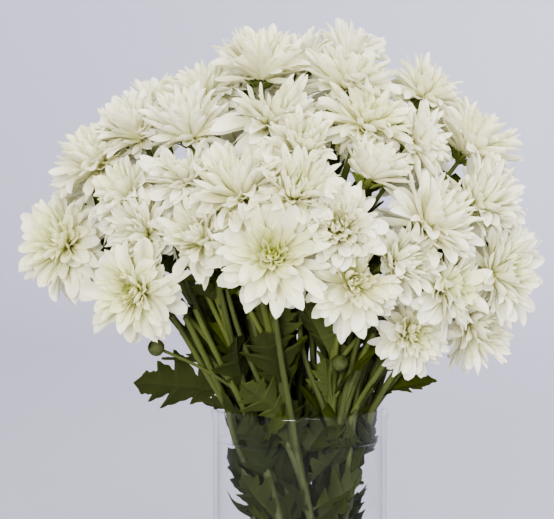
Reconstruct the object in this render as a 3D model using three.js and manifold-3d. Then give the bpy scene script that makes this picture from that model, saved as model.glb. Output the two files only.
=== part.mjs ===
// White spray chrysanthemums standing in a glass jar of water.
// Millimetres, +Z up. The origin is on the jar's axis, on the underside of its base.
// The bouquet is a dome seen best from -Y: ten cut sprays, each a woody stem that forks to four or five
// blooms, lean in the jar, and their blooms press against one another and push one another's petals up.
import * as THREE from "three";
import { mergeVertices } from "three/addons/utils/BufferGeometryUtils.js";
import Module from "manifold-3d";

const wasm = await Module();
wasm.setup();

// ---- Driving dimensions

const SEED = 11;
const GAP = 0.35; // left between pieces that touch
const JAR = { radius: 61, height: 195, wall: 3.2, floor: 9, sides: 24 };
const JAR_HEEL = 5; // the rounding where its wall meets its base, inside and out
const JAR_LIP = { depth: 8, out: 1.2, band: 3 }; // the thick rim: how far down and out, and its band
const WATER_LEVEL = 172;

const HEART = new THREE.Vector3(-18, 0, 262); // the point that the dome of blooms spreads from
const FOOT_TURN = THREE.MathUtils.degToRad(75); // stems lean past one another, as in a florist's spiral
const FOOT_SPREAD = 0.8; // a foot's distance from the axis, against the same stem's at the mouth

const STEM = { footRadius: 3.2, topRadius: 2.2, sides: 5 };
const BRANCH = { footRadius: 1.9, topRadius: 1.5, sides: 5 };
const PEDICEL = { footRadius: 1.3, topRadius: 1.1, sides: 5 };
// The places of their rings: from the jar's mouth to a bloom, from a fork to a bloom, and from a fork to a
// bud.
const STEM_RINGS = [0, 0.3, 0.6, 0.9];
const BRANCH_RINGS = [0, 0.42, 0.82];
const PEDICEL_RINGS = [0, 0.6];
const FORK_HUG = 0.35; // how far a fork first follows its stem, against heading straight for its bloom
// The green cup under a bloom and the bud, as rings: how far up each, and its radius, both as shares.
const CALYX = { depth: 6.5, radius: 8 };
const CALYX_WAIST = { height: 0.55, radius: 0.82 };
const BUD = { radius: 4.6, height: 10, rise: 40 };
const BUD_RINGS = [
  { height: 0.25, radius: 0.85 },
  { height: 0.65, radius: 1 },
  { height: 1, radius: 0.45 },
];

// The middle of a bloom: three rings of points, as shares of its radius, each turned half a side from the
// last. Every second face between two rings grows a petal, and so does every corner of the topmost cap.
const CORE_SIDES = 6;
const CORE_RINGS = [
  { radius: 0.19, height: 0 },
  { radius: 0.26, height: 0.1 },
  { radius: 0.17, height: 0.23 },
];
// The petals of each layer: elevation in degrees, as far as a neighbour may bend it up (steepest), the bow
// that it starts above the elevation and ends below it, its length and half-width as shares of the bloom's
// radius, its shoulders (place along it and share of the half-width), and its greatest half-width as a
// share of its distance from the bloom's axis (spread), so that two side by side keep clear of each other.
const SHOULDERS = [
  { place: 0.5, width: 0.84 },
  { place: 0.88, width: 1 },
];
const POINTED = [SHOULDERS[1]];
const LAYERS = [
  { elevation: 1, steepest: 52, bow: 10, length: 1, halfWidth: 0.33, spread: 0.52, shoulders: SHOULDERS },
  { elevation: 28, steepest: 66, bow: 4, length: 0.92, halfWidth: 0.3, spread: 0.52, shoulders: SHOULDERS },
  { elevation: 62, steepest: 80, bow: -12, length: 0.7, halfWidth: 0.2, spread: 1.5, shoulders: POINTED },
];
const UNEVEN = { elevation: 7, bow: 5, size: 0.07 }; // how far one petal may differ from its layer's
const PETAL_KEEL = 1.7; // how far the middle of the underside stands out
const PETAL_CUP = 0.17; // how far the edges stand up, as a share of the half-width
const BEND_STEP = 4; // degrees
const LAYER_BEND = 20; // degrees that a petal is kept above those under it
const UNDER = Math.cos(THREE.MathUtils.degToRad(37)); // how near the heading of a petal under another is
const SHORTEST_PETAL = 0.42; // of the bloom's radius

const LEAF_THICKNESS = 0.9;
const LEAF_ASPECT = 0.36; // the widest lobes' reach to one side, as a share of the leaf's length
// The lobed edge: place along the rib, reach to each side as a share of the widest, and how far forward
// of its place on the rib that point of the edge lies, as a share of the length.
const LEAF_EDGE = [
  { along: 0, reach: 0.07, forward: 0 },
  { along: 0.15, reach: 0.1, forward: 0 },
  { along: 0.24, reach: 0.78, forward: 0.1 },
  { along: 0.4, reach: 0.34, forward: 0 },
  { along: 0.5, reach: 1, forward: 0.14 },
  { along: 0.68, reach: 0.38, forward: 0 },
  { along: 0.78, reach: 0.52, forward: 0.06 },
];
const LEAF_FOLD = 0.22; // the edges' rise, as a share of their reach
const LEAF_ARCH = 0.2; // how far it droops, as a share of the length
const LEAF_CREST = 0.3; // the highest place of its arch, along it

// ---- The bouquet
// seat: where the stem passes the jar's mouth, from the axis.
// blooms: the middle of each, [x, y, z], its radius, the height on the stem that it forks off at, and how
// it leans from facing straight out of the dome. The stem itself runs on to the first one.
// leaves: height on the stem, heading (0 is +X, 90 is +Y), pitch and roll in degrees, and length.
// buds: the tip of each green bud, and the height that it forks off at.
const SPRAYS = [
  {
    name: "front",
    seat: [-8, -41],
    blooms: [
      { at: [-40, -105, 347], radius: 38 },
      { at: [-19, -125, 307], radius: 40, fork: 214 },
      { at: [-66, -100, 316], radius: 34, fork: 227 },
      { at: [-4, -113, 346], radius: 33, fork: 240 },
      { at: [0, -95, 374], radius: 30, fork: 253 },
    ],
    leaves: [
      { height: 206, heading: 245, pitch: 55, roll: 20, length: 62 },
      { height: 190, heading: 215, pitch: 35, roll: 60, length: 50 },
    ],
    buds: [],
  },
  {
    name: "front_right",
    seat: [22, -36],
    blooms: [
      { at: [64, -95, 300], radius: 31 },
      { at: [73, -72, 252], radius: 31, fork: 203, lean: [-0.3, -0.2, 0] },
      { at: [34, -105, 288], radius: 35, fork: 214 },
      { at: [98, -80, 284], radius: 34, fork: 225 },
      { at: [24, -112, 324], radius: 33, fork: 236 },
    ],
    leaves: [
      { height: 206, heading: 305, pitch: 40, roll: 50, length: 62 },
      { height: 222, heading: 158, pitch: 60, roll: 30, length: 50 },
    ],
    buds: [
      { at: [58, -46, 250], fork: 207 },
      { at: [28, -72, 234], fork: 196 },
    ],
  },
  {
    name: "right",
    seat: [45, -9],
    blooms: [
      { at: [121, -45, 340], radius: 37, lean: [0, -0.3, 0] },
      { at: [118, -38, 256], radius: 34, fork: 208, lean: [0, -0.4, -0.2] },
      { at: [135, -45, 292], radius: 38, fork: 222, lean: [0, -0.45, 0] },
      { at: [140, 12, 308], radius: 35, fork: 236 },
      { at: [86, -85, 326], radius: 38, fork: 250 },
    ],
    leaves: [
      { height: 203, heading: 352, pitch: 18, roll: 25, length: 50 },
      { height: 190, heading: 272, pitch: 30, roll: 60, length: 50 },
      { height: 232, heading: 140, pitch: 45, roll: 0, length: 52 },
    ],
    buds: [],
  },
  {
    name: "front_left",
    seat: [-34, -29],
    blooms: [
      { at: [-105, -82, 318], radius: 31 },
      { at: [-110, -95, 281], radius: 36, fork: 208, lean: [0.15, -0.25, -0.1] },
      { at: [-76, -80, 356], radius: 33, fork: 244 },
      { at: [-116, -62, 345], radius: 33, fork: 232 },
    ],
    leaves: [
      { height: 222, heading: 172, pitch: 14, roll: 5, length: 56 },
      { height: 208, heading: 255, pitch: 50, roll: 60, length: 56 },
      { height: 186, heading: 156, pitch: 25, roll: 40, length: 44 },
    ],
    buds: [{ at: [-101, -58, 243], fork: 202 }],
  },
  {
    name: "left",
    seat: [-46, 2],
    blooms: [
      { at: [-140, -20, 368], radius: 33, lean: [0, -0.3, 0] },
      { at: [-165, -25, 311], radius: 37, fork: 215, lean: [0.2, -0.75, 0] },
      { at: [-148, 45, 303], radius: 34, fork: 228 },
      { at: [-152, 25, 345], radius: 33, fork: 250 },
      { at: [-112, -28, 388], radius: 33, fork: 266, lean: [0, -0.2, 0] },
    ],
    leaves: [
      { height: 204, heading: 188, pitch: 10, roll: 62, length: 70 },
      { height: 222, heading: 120, pitch: 30, roll: 0, length: 58 },
      { height: 240, heading: 260, pitch: 45, roll: 0, length: 52 },
    ],
    buds: [],
  },
  {
    name: "top_front",
    seat: [-17, -13],
    blooms: [
      { at: [-26, -35, 430], radius: 36, lean: [0, -0.1, 0.6] },
      { at: [-75, -55, 389], radius: 36, fork: 262, lean: [0, 0, 0.2] },
      { at: [-19, -74, 396], radius: 38, fork: 276 },
      { at: [-66, -12, 418], radius: 34, fork: 292 },
    ],
    leaves: [
      { height: 238, heading: 280, pitch: 55, roll: 0, length: 58 },
      { height: 262, heading: 150, pitch: 50, roll: 0, length: 54 },
      { height: 214, heading: 70, pitch: 62, roll: 30, length: 54 },
    ],
    buds: [],
  },
  {
    name: "top_right",
    seat: [20, -10],
    blooms: [
      { at: [44, -72, 394], radius: 34 },
      { at: [45, -95, 360], radius: 29, fork: 256, lean: [0, 0, 0.5] },
      { at: [117, -20, 378], radius: 38, fork: 244, lean: [0.2, 0.1, 0.2] },
      { at: [78, -58, 380], radius: 32, fork: 272 },
      { at: [32, -42, 422], radius: 35, fork: 298 },
    ],
    leaves: [
      { height: 226, heading: 170, pitch: 64, roll: 0, length: 60 },
      { height: 250, heading: 290, pitch: 45, roll: 0, length: 54 },
      { height: 290, heading: 250, pitch: 40, roll: 0, length: 46 },
    ],
    buds: [{ at: [22, -52, 300], fork: 262 }],
  },
  {
    name: "top",
    seat: [2, 12],
    blooms: [
      { at: [34, 10, 444], radius: 34 },
      { at: [88, -12, 416], radius: 33, fork: 286 },
      { at: [-40, 36, 426], radius: 34, fork: 300 },
      { at: [0, 5, 438], radius: 33, fork: 318 },
    ],
    leaves: [
      { height: 250, heading: 115, pitch: 40, roll: 0, length: 56 },
      { height: 290, heading: 50, pitch: 45, roll: 0, length: 48 },
    ],
    buds: [],
  },
  {
    name: "back_left",
    seat: [-25, 26],
    blooms: [
      { at: [-108, 52, 372], radius: 35 },
      { at: [-108, 84, 322], radius: 36, fork: 226 },
      { at: [-60, 116, 318], radius: 36, fork: 238 },
      { at: [-48, 80, 384], radius: 36, fork: 258 },
      { at: [-98, 8, 408], radius: 33, fork: 276 },
    ],
    leaves: [
      { height: 208, heading: 150, pitch: 20, roll: 20, length: 66 },
      { height: 226, heading: 95, pitch: 25, roll: 0, length: 60 },
    ],
    buds: [],
  },
  {
    name: "back_right",
    seat: [25, 30],
    blooms: [
      { at: [20, 82, 390], radius: 37 },
      { at: [98, 82, 306], radius: 37, fork: 212 },
      { at: [-8, 126, 318], radius: 35, fork: 224 },
      { at: [44, 116, 312], radius: 37, fork: 237 },
      { at: [84, 48, 374], radius: 37, fork: 256 },
    ],
    leaves: [
      { height: 208, heading: 30, pitch: 18, roll: 20, length: 66 },
      { height: 224, heading: 85, pitch: 25, roll: 0, length: 60 },
    ],
    buds: [],
  },
];

// ---- Helpers

const vec = (x, y, z) => new THREE.Vector3(x, y, z);
const lerp = THREE.MathUtils.lerp;
const rad = THREE.MathUtils.degToRad;

// A closed geometry through rings of points. A ring of one point closes it to a tip.
function loft(rings) {
  const index = [];
  let start = 0;
  rings.slice(1).forEach((next, r) => {
    const here = rings[r];
    const above = start + here.length;
    const sides = Math.max(here.length, next.length);
    for (let s = 0; s < sides; s++) {
      const t = (s + 1) % sides;
      if (here.length > 1) index.push(start + s, start + t, above + (next.length > 1 ? t : 0));
      if (next.length > 1) index.push(above + t, above + s, start + (here.length > 1 ? s : 0));
    }
    start = above;
  });
  const last = rings.at(-1).length;
  for (let s = 1; s < rings[0].length - 1; s++) index.push(0, s + 1, s);
  for (let s = 1; s < last - 1; s++) index.push(start, start + s, start + s + 1);
  const geometry = new THREE.BufferGeometry().setFromPoints(rings.flat());
  geometry.setIndex(index);
  return geometry;
}

// A geometry as a manifold-3d solid, facing out.
function solid(geometry) {
  const bare = new THREE.BufferGeometry();
  bare.setAttribute("position", geometry.getAttribute("position").clone());
  bare.setIndex(geometry.index);
  const merged = mergeVertices(bare, 1e-4);
  const faces = [];
  for (let i = 0; i < merged.index.count; i += 3) {
    const [a, b, c] = merged.index.array.slice(i, i + 3);
    if (a !== b && b !== c && c !== a) faces.push(a, b, c);
  }
  const vertProperties = new Float32Array(merged.getAttribute("position").array);
  const make = (corners) =>
    new wasm.Manifold(new wasm.Mesh({ numProp: 3, vertProperties, triVerts: new Uint32Array(corners) }));
  const made = make(faces);
  return made.volume() < 0 ? make(faces.reverse()) : made;
}

const union = (solids) => wasm.Manifold.union(solids);
const placed = (made, matrix) => made.transform(matrix.elements);

function boxesMeet(a, b) {
  const one = a.boundingBox();
  const two = b.boundingBox();
  return [0, 1, 2].every((i) => one.min[i] <= two.max[i] && two.min[i] <= one.max[i]);
}

// The largest body of a solid: what a cut leaves loose is dropped.
function largest(made) {
  return made.decompose().reduce((a, b) => (a.volume() > b.volume() ? a : b));
}

function geometryOf(made) {
  const { vertProperties, triVerts } = made.getMesh();
  const geometry = new THREE.BufferGeometry();
  geometry.setAttribute("position", new THREE.BufferAttribute(vertProperties, 3));
  geometry.setIndex(new THREE.BufferAttribute(triVerts, 1));
  geometry.computeVertexNormals();
  return geometry;
}

function lathe(profile, sides) {
  const points = profile.map(([r, z]) => new THREE.Vector2(r, z));
  return solid(new THREE.LatheGeometry(points, sides).rotateX(Math.PI / 2));
}

// ---- Jar and water

function jar() {
  const { radius, height, wall, floor, sides } = JAR;
  const { depth, out, band } = JAR_LIP;
  const inside = radius - wall;
  const heel = JAR_HEEL * (1 - Math.SQRT1_2);
  return lathe(
    [
      [0, 0],
      [radius - JAR_HEEL, 0],
      [radius - heel, heel],
      [radius, JAR_HEEL],
      [radius, height - depth],
      [radius + out, height - out - band],
      [radius + out, height - out],
      [radius, height],
      [inside, height - out],
      [inside, floor + JAR_HEEL],
      [inside - JAR_HEEL, floor],
      [0, floor],
    ],
    sides,
  );
}

function water() {
  const floor = JAR.floor + GAP;
  const radius = JAR.radius - JAR.wall - GAP;
  return lathe(
    [
      [0, floor],
      [radius - JAR_HEEL, floor],
      [radius, floor + JAR_HEEL],
      [radius, WATER_LEVEL],
      [0, WATER_LEVEL],
    ],
    JAR.sides,
  );
}

// ---- Blooms

// Where a bloom stands: n is the way that it faces, base is the middle of its underside.
function standing({ at, radius, fork, lean = [0, 0, 0] }, spin) {
  const middle = vec(...at);
  const n = middle.clone().sub(HEART).normalize().add(vec(...lean)).normalize();
  const u = vec(0, 0, 1).cross(n).normalize().applyAxisAngle(n, spin);
  const base = middle.clone().addScaledVector(n, -CORE_RINGS.at(-1).height * radius);
  const frame = new THREE.Matrix4().makeBasis(u, n.clone().cross(u), n).setPosition(base);
  return { middle, n, base, radius, fork, frame };
}

// The planes half way to each neighbour, in the bloom's own frame, which its petals keep within.
function limits(bloom, others) {
  const inward = bloom.frame.clone().invert();
  const near = (other) => other.middle.distanceTo(bloom.middle) < bloom.radius + other.radius;
  return others
    .filter((other) => other !== bloom && near(other))
    .map((other) => {
      const toward = other.middle.clone().sub(bloom.middle);
      const reach = (toward.length() * bloom.radius) / (bloom.radius + other.radius) - GAP / 2;
      const normal = toward.normalize();
      const through = bloom.middle.clone().addScaledVector(normal, reach).applyMatrix4(inward);
      normal.transformDirection(inward);
      return { normal, offset: normal.dot(through) };
    });
}

// A petal: it grows from a face of the core, [left, right, lower], and is a keeled blade to its tip.
function petalRings(face, { elevation, bow, length, halfWidth, shoulders, spread }) {
  const root = face[0].clone().add(face[1]).add(face[2]).divideScalar(3);
  const out = root.clone().setZ(0).normalize();
  const side = vec(-out.y, out.x, 0);
  const at = root.clone();
  let passed = root.dot(out) / length;
  const step = (place) => {
    const slope = rad(elevation + lerp(bow, -bow, (passed + place) / 2));
    const up = out.clone().multiplyScalar(-Math.sin(slope)).setZ(Math.cos(slope));
    at.addScaledVector(out, Math.cos(slope) * length * (place - passed));
    at.z += Math.sin(slope) * length * (place - passed);
    passed = place;
    return up;
  };
  const rings = shoulders.map(({ place, width }) => {
    const up = step(place);
    const half = Math.min(halfWidth * width, spread * at.dot(out));
    const edge = at.clone().addScaledVector(up, half * PETAL_CUP);
    return [
      edge.clone().addScaledVector(side, half),
      edge.clone().addScaledVector(side, -half),
      at.clone().addScaledVector(up, -PETAL_KEEL),
    ];
  });
  step(1);
  return [face, ...rings, [at]];
}

// A petal that would cross into a neighbour's room is first bent up, and then shortened, until it is clear.
function bentClear(face, petal, planes) {
  const clear = () =>
    petalRings(face, petal)
      .slice(1)
      .flat()
      .every((p) => planes.every((q) => q.normal.dot(p) <= q.offset));
  while (!clear() && petal.elevation < petal.steepest) petal.elevation += BEND_STEP;
  while (!clear() && petal.length > petal.shortest) petal.length -= 1;
  return petal;
}

function bloomSolid(bloom, blooms, draw) {
  const { radius } = bloom;
  const planes = limits(bloom, blooms);
  const rings = CORE_RINGS.map((level, r) =>
    Array.from({ length: CORE_SIDES }, (_, i) => {
      const turn = ((i - r / 2) / CORE_SIDES) * 2 * Math.PI;
      const point = vec(Math.cos(turn) * level.radius, Math.sin(turn) * level.radius, level.height);
      return point.multiplyScalar(radius);
    }),
  );
  const [low, middle, high] = rings;
  const next = (i) => (i + 1) % CORE_SIDES;
  const before = (i) => (i + CORE_SIDES - 1) % CORE_SIDES;
  const faces = [
    low.map((p, i) => [middle[next(i)], middle[i], p]),
    middle.map((p, i) => [high[next(i)], high[i], p]),
    high.map((p, i) => [high[next(i)], high[before(i)], p]).filter((_, i) => i % 2),
  ];
  const solids = [solid(loft(rings))];
  const bends = [];
  faces.forEach((layer, l) => {
    const { elevation, bow, length, halfWidth, steepest } = LAYERS[l];
    bends.push(
      layer.map((face) => {
        const heading = Math.atan2(face[2].y, face[2].x);
        const under = (bends[l - 1] ?? []).filter((p) => Math.cos(p.heading - heading) > UNDER);
        const least = Math.max(...under.map((p) => p.elevation + LAYER_BEND), -steepest);
        const own = elevation + draw(-UNEVEN.elevation, UNEVEN.elevation);
        const petal = {
          ...LAYERS[l],
          heading,
          elevation: Math.max(own, Math.min(least, steepest)),
          bow: bow + draw(-UNEVEN.bow, UNEVEN.bow),
          length: radius * length * draw(1 - UNEVEN.size, 1),
          halfWidth: radius * halfWidth * draw(1 - UNEVEN.size, 1),
          shortest: radius * SHORTEST_PETAL,
        };
        const bent = bentClear(face, petal, planes);
        solids.push(solid(loft(petalRings(face, bent))));
        return bent;
      }),
    );
  });
  const trimmed = (left, { normal, offset }) =>
    left.trimByPlane(normal.clone().negate().toArray(), -offset);
  return planes.reduce(trimmed, union(solids));
}

// ---- Sprays

function ring(centre, across, along, radius, sides) {
  return Array.from({ length: sides }, (_, s) => {
    const turn = (s / sides) * 2 * Math.PI;
    return centre
      .clone()
      .addScaledVector(across, Math.cos(turn) * radius)
      .addScaledVector(along, Math.sin(turn) * radius);
  });
}

// Rings round a curve at these places along it, tapering from one radius to another, without a twist.
// The first ring is level, so that a stem's foot stands flat.
function tubeRings(curve, places, { footRadius, topRadius, sides }, grow) {
  const across = vec(1, 0, 0);
  return places.map((place, i) => {
    const along = i ? curve.getTangentAt(place) : vec(0, 0, 1);
    across.addScaledVector(along, -across.dot(along)).normalize();
    const radius = lerp(footRadius, topRadius, place) + grow;
    return ring(curve.getPointAt(place), across, along.clone().cross(across), radius, sides);
  });
}

// Rings round the line from base along n: each at a height, with a radius, turned as the tube under them.
function topRings(tube, base, n, levels, grow) {
  const last = tube.at(-1);
  const middle = last.reduce((sum, p) => sum.add(p), vec(0, 0, 0)).divideScalar(last.length);
  const across = last[0].clone().sub(middle);
  across.addScaledVector(n, -across.dot(n)).normalize();
  const along = n.clone().cross(across);
  return levels.map(({ height, radius }) =>
    ring(base.clone().addScaledVector(n, height), across, along, radius + grow, last.length),
  );
}

// A stalk that widens into the green cup under a bloom.
function stalk(curve, places, size, bloom, grow) {
  const tube = tubeRings(curve, places, size, grow);
  const cup = [
    { height: (CALYX_WAIST.height - 1) * CALYX.depth, radius: CALYX_WAIST.radius * CALYX.radius },
    { height: -GAP, radius: CALYX.radius },
  ];
  return solid(loft([...tube, ...topRings(tube, bloom.base, bloom.n, cup, grow)]));
}

const stalkEnd = (bloom) => bloom.base.clone().addScaledVector(bloom.n, -CALYX.depth);

// Straight from its foot on the jar's floor through its seat in the mouth, then a sweep up to its bloom.
function mainCurve(spray) {
  const [x, y] = spray.seat;
  const foot = vec(x, y, 0).applyAxisAngle(vec(0, 0, 1), FOOT_TURN).multiplyScalar(FOOT_SPREAD);
  foot.z = JAR.floor + GAP;
  const mouth = vec(x, y, JAR.height);
  const end = stalkEnd(spray.blooms[0]);
  const reach = mouth.distanceTo(end) / 3;
  const rise = mouth.clone().sub(foot).normalize();
  const curve = new THREE.CurvePath();
  curve.add(new THREE.LineCurve3(foot, mouth));
  curve.add(
    new THREE.CubicBezierCurve3(
      mouth,
      mouth.clone().addScaledVector(rise, reach),
      end.clone().addScaledVector(spray.blooms[0].n, -reach),
      end,
    ),
  );
  return curve;
}

// The place along a rising curve that has this height.
function atHeight(curve, height) {
  let [low, high] = [0, 1];
  for (let i = 0; i < 24; i++) {
    const half = (low + high) / 2;
    if (curve.getPointAt(half).z < height) low = half;
    else high = half;
  }
  return low;
}

function forkCurve(main, height, end, n) {
  const place = atHeight(main, height);
  const from = main.getPointAt(place);
  const reach = from.distanceTo(end) / 3;
  const away = end.clone().sub(from).normalize().lerp(main.getTangentAt(place), FORK_HUG);
  return new THREE.CubicBezierCurve3(
    from,
    from.clone().addScaledVector(away.normalize(), reach),
    end.clone().addScaledVector(n, -reach),
    end,
  );
}

function budSolid(main, { at, fork }, grow) {
  const tip = vec(...at);
  const n = tip.clone().sub(HEART).setZ(BUD.rise).normalize();
  const end = tip.clone().addScaledVector(n, -BUD.height);
  const curve = forkCurve(main, fork, end, n);
  const tube = tubeRings(curve, PEDICEL_RINGS, PEDICEL, grow);
  const body = BUD_RINGS.map(({ height, radius }) => ({
    height: height * BUD.height,
    radius: radius * BUD.radius,
  }));
  return solid(loft([...tube, ...topRings(tube, end, n, body, grow)]));
}

// The stem, its forks and its buds, without leaves. grow makes them larger all round, as room for them.
function stems(spray, grow = 0) {
  const main = mainCurve(spray);
  const [leader, ...others] = spray.blooms;
  const mouth = atHeight(main, JAR.height);
  return union([
    stalk(main, [0, ...STEM_RINGS.map((place) => lerp(mouth, 1, place))], STEM, leader, grow),
    ...others.map((bloom) => {
      const curve = forkCurve(main, bloom.fork, stalkEnd(bloom), bloom.n);
      return stalk(curve, BRANCH_RINGS, BRANCH, bloom, grow);
    }),
    ...spray.buds.map((bud) => budSolid(main, bud, grow)),
  ]);
}

// ---- Leaves

// A lobed leaf with its rib along +X and its root at the origin, as two like faces and a rim.
function leafGeometry(length) {
  const reach = LEAF_ASPECT * length;
  const arch = (share) => LEAF_ARCH * length * share * (2 * LEAF_CREST - share);
  const edge = (way) =>
    LEAF_EDGE.map(({ along, reach: share, forward }) => {
      const x = along + forward;
      return vec(x * length, way * share * reach, arch(x) + LEAF_FOLD * share * reach);
    });
  const rib = LEAF_EDGE.map(({ along }) => vec(along * length, 0, arch(along)));
  const tip = vec(length, 0, arch(1));
  const top = [...rib, ...edge(1), ...edge(-1), tip];
  const n = rib.length;
  const last = 3 * n;
  const face = [];
  for (const first of [n, 2 * n]) {
    for (let i = 0; i + 1 < n; i++) face.push([i, i + 1, first + i + 1], [i, first + i + 1, first + i]);
    face.push([n - 1, last, first + n - 1]);
  }
  const turned = face.map(([a, b, c], i) => (i < face.length / 2 ? [a, b, c] : [a, c, b]));
  const under = top.map((p) => vec(p.x, p.y, p.z - LEAF_THICKNESS));
  const rim = [...Array.from({ length: n }, (_, i) => n + i), last];
  rim.push(...Array.from({ length: n }, (_, i) => 3 * n - 1 - i), 0);
  const m = top.length;
  const walls = rim.flatMap((a, i) => {
    const b = rim[(i + 1) % rim.length];
    return [[a, b, b + m], [a, b + m, a + m]];
  });
  const faces = [...turned, ...turned.map(([a, b, c]) => [a + m, c + m, b + m]), ...walls];
  const geometry = new THREE.BufferGeometry().setFromPoints([...top, ...under]);
  geometry.setIndex(faces.flat());
  return geometry;
}

function leafSolid(main, { height, heading, pitch, roll, length }) {
  const root = main.getPointAt(atHeight(main, height));
  const turn = new THREE.Euler(rad(roll), -rad(pitch), rad(heading), "ZYX");
  const place = new THREE.Matrix4().makeRotationFromEuler(turn).setPosition(root);
  return placed(solid(leafGeometry(length)), place);
}

// ---- Assembly

THREE.MathUtils.seededRandom(SEED);
const draw = (from, to) => lerp(from, to, THREE.MathUtils.seededRandom());
const sprays = SPRAYS.map((spray) => ({
  ...spray,
  blooms: spray.blooms.map((bloom) => standing(bloom, draw(0, 2 * Math.PI))),
}));
const blooms = sprays.flatMap((spray) => spray.blooms);
const clearances = sprays.map((spray) => stems(spray, GAP));
const glass = jar();
const pool = water();

// Each bloom in its own frame, cut clear of the stems that pass it.
const bloomSolids = blooms.map((bloom) => {
  const inward = bloom.frame.clone().invert();
  const whole = bloomSolid(bloom, blooms, draw);
  const passing = clearances.map((stem) => placed(stem, inward)).filter((stem) => boxesMeet(stem, whole));
  return largest(passing.reduce((left, stem) => left.subtract(stem), whole));
});
const worldBlooms = bloomSolids.map((made, i) => placed(made, blooms[i].frame));

// Each leaf's heading and pitch keep it clear of the blooms, of the other sprays and of its spray's forks.
const green = sprays.map((spray) => {
  const main = mainCurve(spray);
  return union([stems(spray), ...spray.leaves.map((leaf) => leafSolid(main, leaf))]);
});

const PETAL_WHITE = new THREE.MeshStandardMaterial({ color: 0xf1efe2, roughness: 0.6, flatShading: true });
const LEAF_GREEN = new THREE.MeshStandardMaterial({ color: 0x56692c, roughness: 0.6, flatShading: true });
const clear = { transparent: true, opacity: 0.35 };
const GLASS = new THREE.MeshStandardMaterial({ color: 0xdfe6e8, roughness: 0.05, ...clear });
const WATER = new THREE.MeshStandardMaterial({ color: 0xe4ecea, roughness: 0.02, ...clear });

const bouquet = new THREE.Group();

function add(name, made, material, frame = new THREE.Matrix4()) {
  const mesh = new THREE.Mesh(geometryOf(made), material);
  mesh.name = name;
  mesh.applyMatrix4(frame);
  bouquet.add(mesh);
}

add("jar", glass, GLASS);
add("water", largest(clearances.reduce((left, stem) => left.subtract(stem), pool)), WATER);
sprays.forEach((spray, s) => {
  add(`stem_${spray.name}`, green[s], LEAF_GREEN);
  spray.blooms.forEach((bloom, b) => {
    const made = bloomSolids[blooms.indexOf(bloom)];
    add(`bloom_${spray.name}_${b + 1}`, made, PETAL_WHITE, bloom.frame);
  });
});

export default bouquet;
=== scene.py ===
# %% [markdown]
# # White spray chrysanthemums in a glass jar
#
# Ten cut sprays lean in a plain round jar of water, and their forty-seven blooms press together into a
# dome. The packed model is the frame: it has one node for each bloom, for each spray's stem with its leaves
# and buds, for the jar and for the water. Its blades are few and thick, because it is made for weighing and
# touching. This lesson dresses it. Each node gets a finer piece in its own place, grown by the same rules
# from the same sizes, so nothing has to be fitted afterwards.

# %% The frame
import math

import bpy
import numpy as np
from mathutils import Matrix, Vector


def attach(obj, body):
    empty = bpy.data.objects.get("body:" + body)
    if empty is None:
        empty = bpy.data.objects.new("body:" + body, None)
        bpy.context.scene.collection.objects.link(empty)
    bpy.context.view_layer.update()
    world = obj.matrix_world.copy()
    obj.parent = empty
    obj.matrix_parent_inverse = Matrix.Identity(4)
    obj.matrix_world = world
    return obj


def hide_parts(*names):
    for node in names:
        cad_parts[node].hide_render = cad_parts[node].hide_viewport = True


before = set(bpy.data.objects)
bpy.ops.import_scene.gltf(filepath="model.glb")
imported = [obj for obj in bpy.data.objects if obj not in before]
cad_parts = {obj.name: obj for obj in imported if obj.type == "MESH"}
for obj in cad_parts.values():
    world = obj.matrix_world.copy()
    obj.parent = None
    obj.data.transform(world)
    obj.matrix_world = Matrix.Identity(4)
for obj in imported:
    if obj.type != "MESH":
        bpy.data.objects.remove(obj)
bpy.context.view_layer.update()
print("nodes:", len(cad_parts))

# %% [markdown]
# ## The sizes
#
# Everything is worked out in millimetres and turned into metres when a mesh is made. The jar is an ordinary
# straight vase, 122 mm across, and the rest is measured against it. A size that only one piece needs stands
# with that piece. Flowers are never quite alike, so many sizes get a random share, and every share comes
# from one seeded generator, so that the bouquet is the same each time.

# %% Millimetres, the jar and the generator
MM = 0.001
UP = np.array([0.0, 0.0, 1.0])
JAR = {"radius": 61, "height": 195, "wall": 3.2, "floor": 9, "heel": 5}
draw = np.random.default_rng(11)
print("jar:", 2 * JAR["radius"], "mm across and", JAR["height"], "mm tall")

# %% [markdown]
# ## The bouquet as a list
#
# A spray is one branch. Its seat is where it passes the jar's mouth, its stem runs on to the first bloom,
# and the others fork off it at a height. A bloom is its middle, its radius, the height of its fork and how
# it leans from facing straight out of the dome. A leaf is its height on the stem, its heading, pitch and
# roll in degrees, and its length. A bud is its tip and the height of its fork. The list is written out,
# looking at where each bloom sits in the bouquet, because a random scatter would give an even ball and not
# this one.


# %% The ten sprays
def spray(name, seat, blooms, leaves, buds=()):
    return {"name": name, "seat": seat, "blooms": blooms, "leaves": leaves, "buds": buds}


def flower(at, radius, fork=None, lean=(0, 0, 0), heart=None, raised=0):
    """A bloom. With a heart of 1 it is fully open. Raised by some degrees, it shows its cup."""
    at, lean = np.array(at, float), np.array(lean, float)
    return {"at": at, "radius": radius, "fork": fork, "lean": lean, "heart": heart, "raised": raised}


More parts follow.
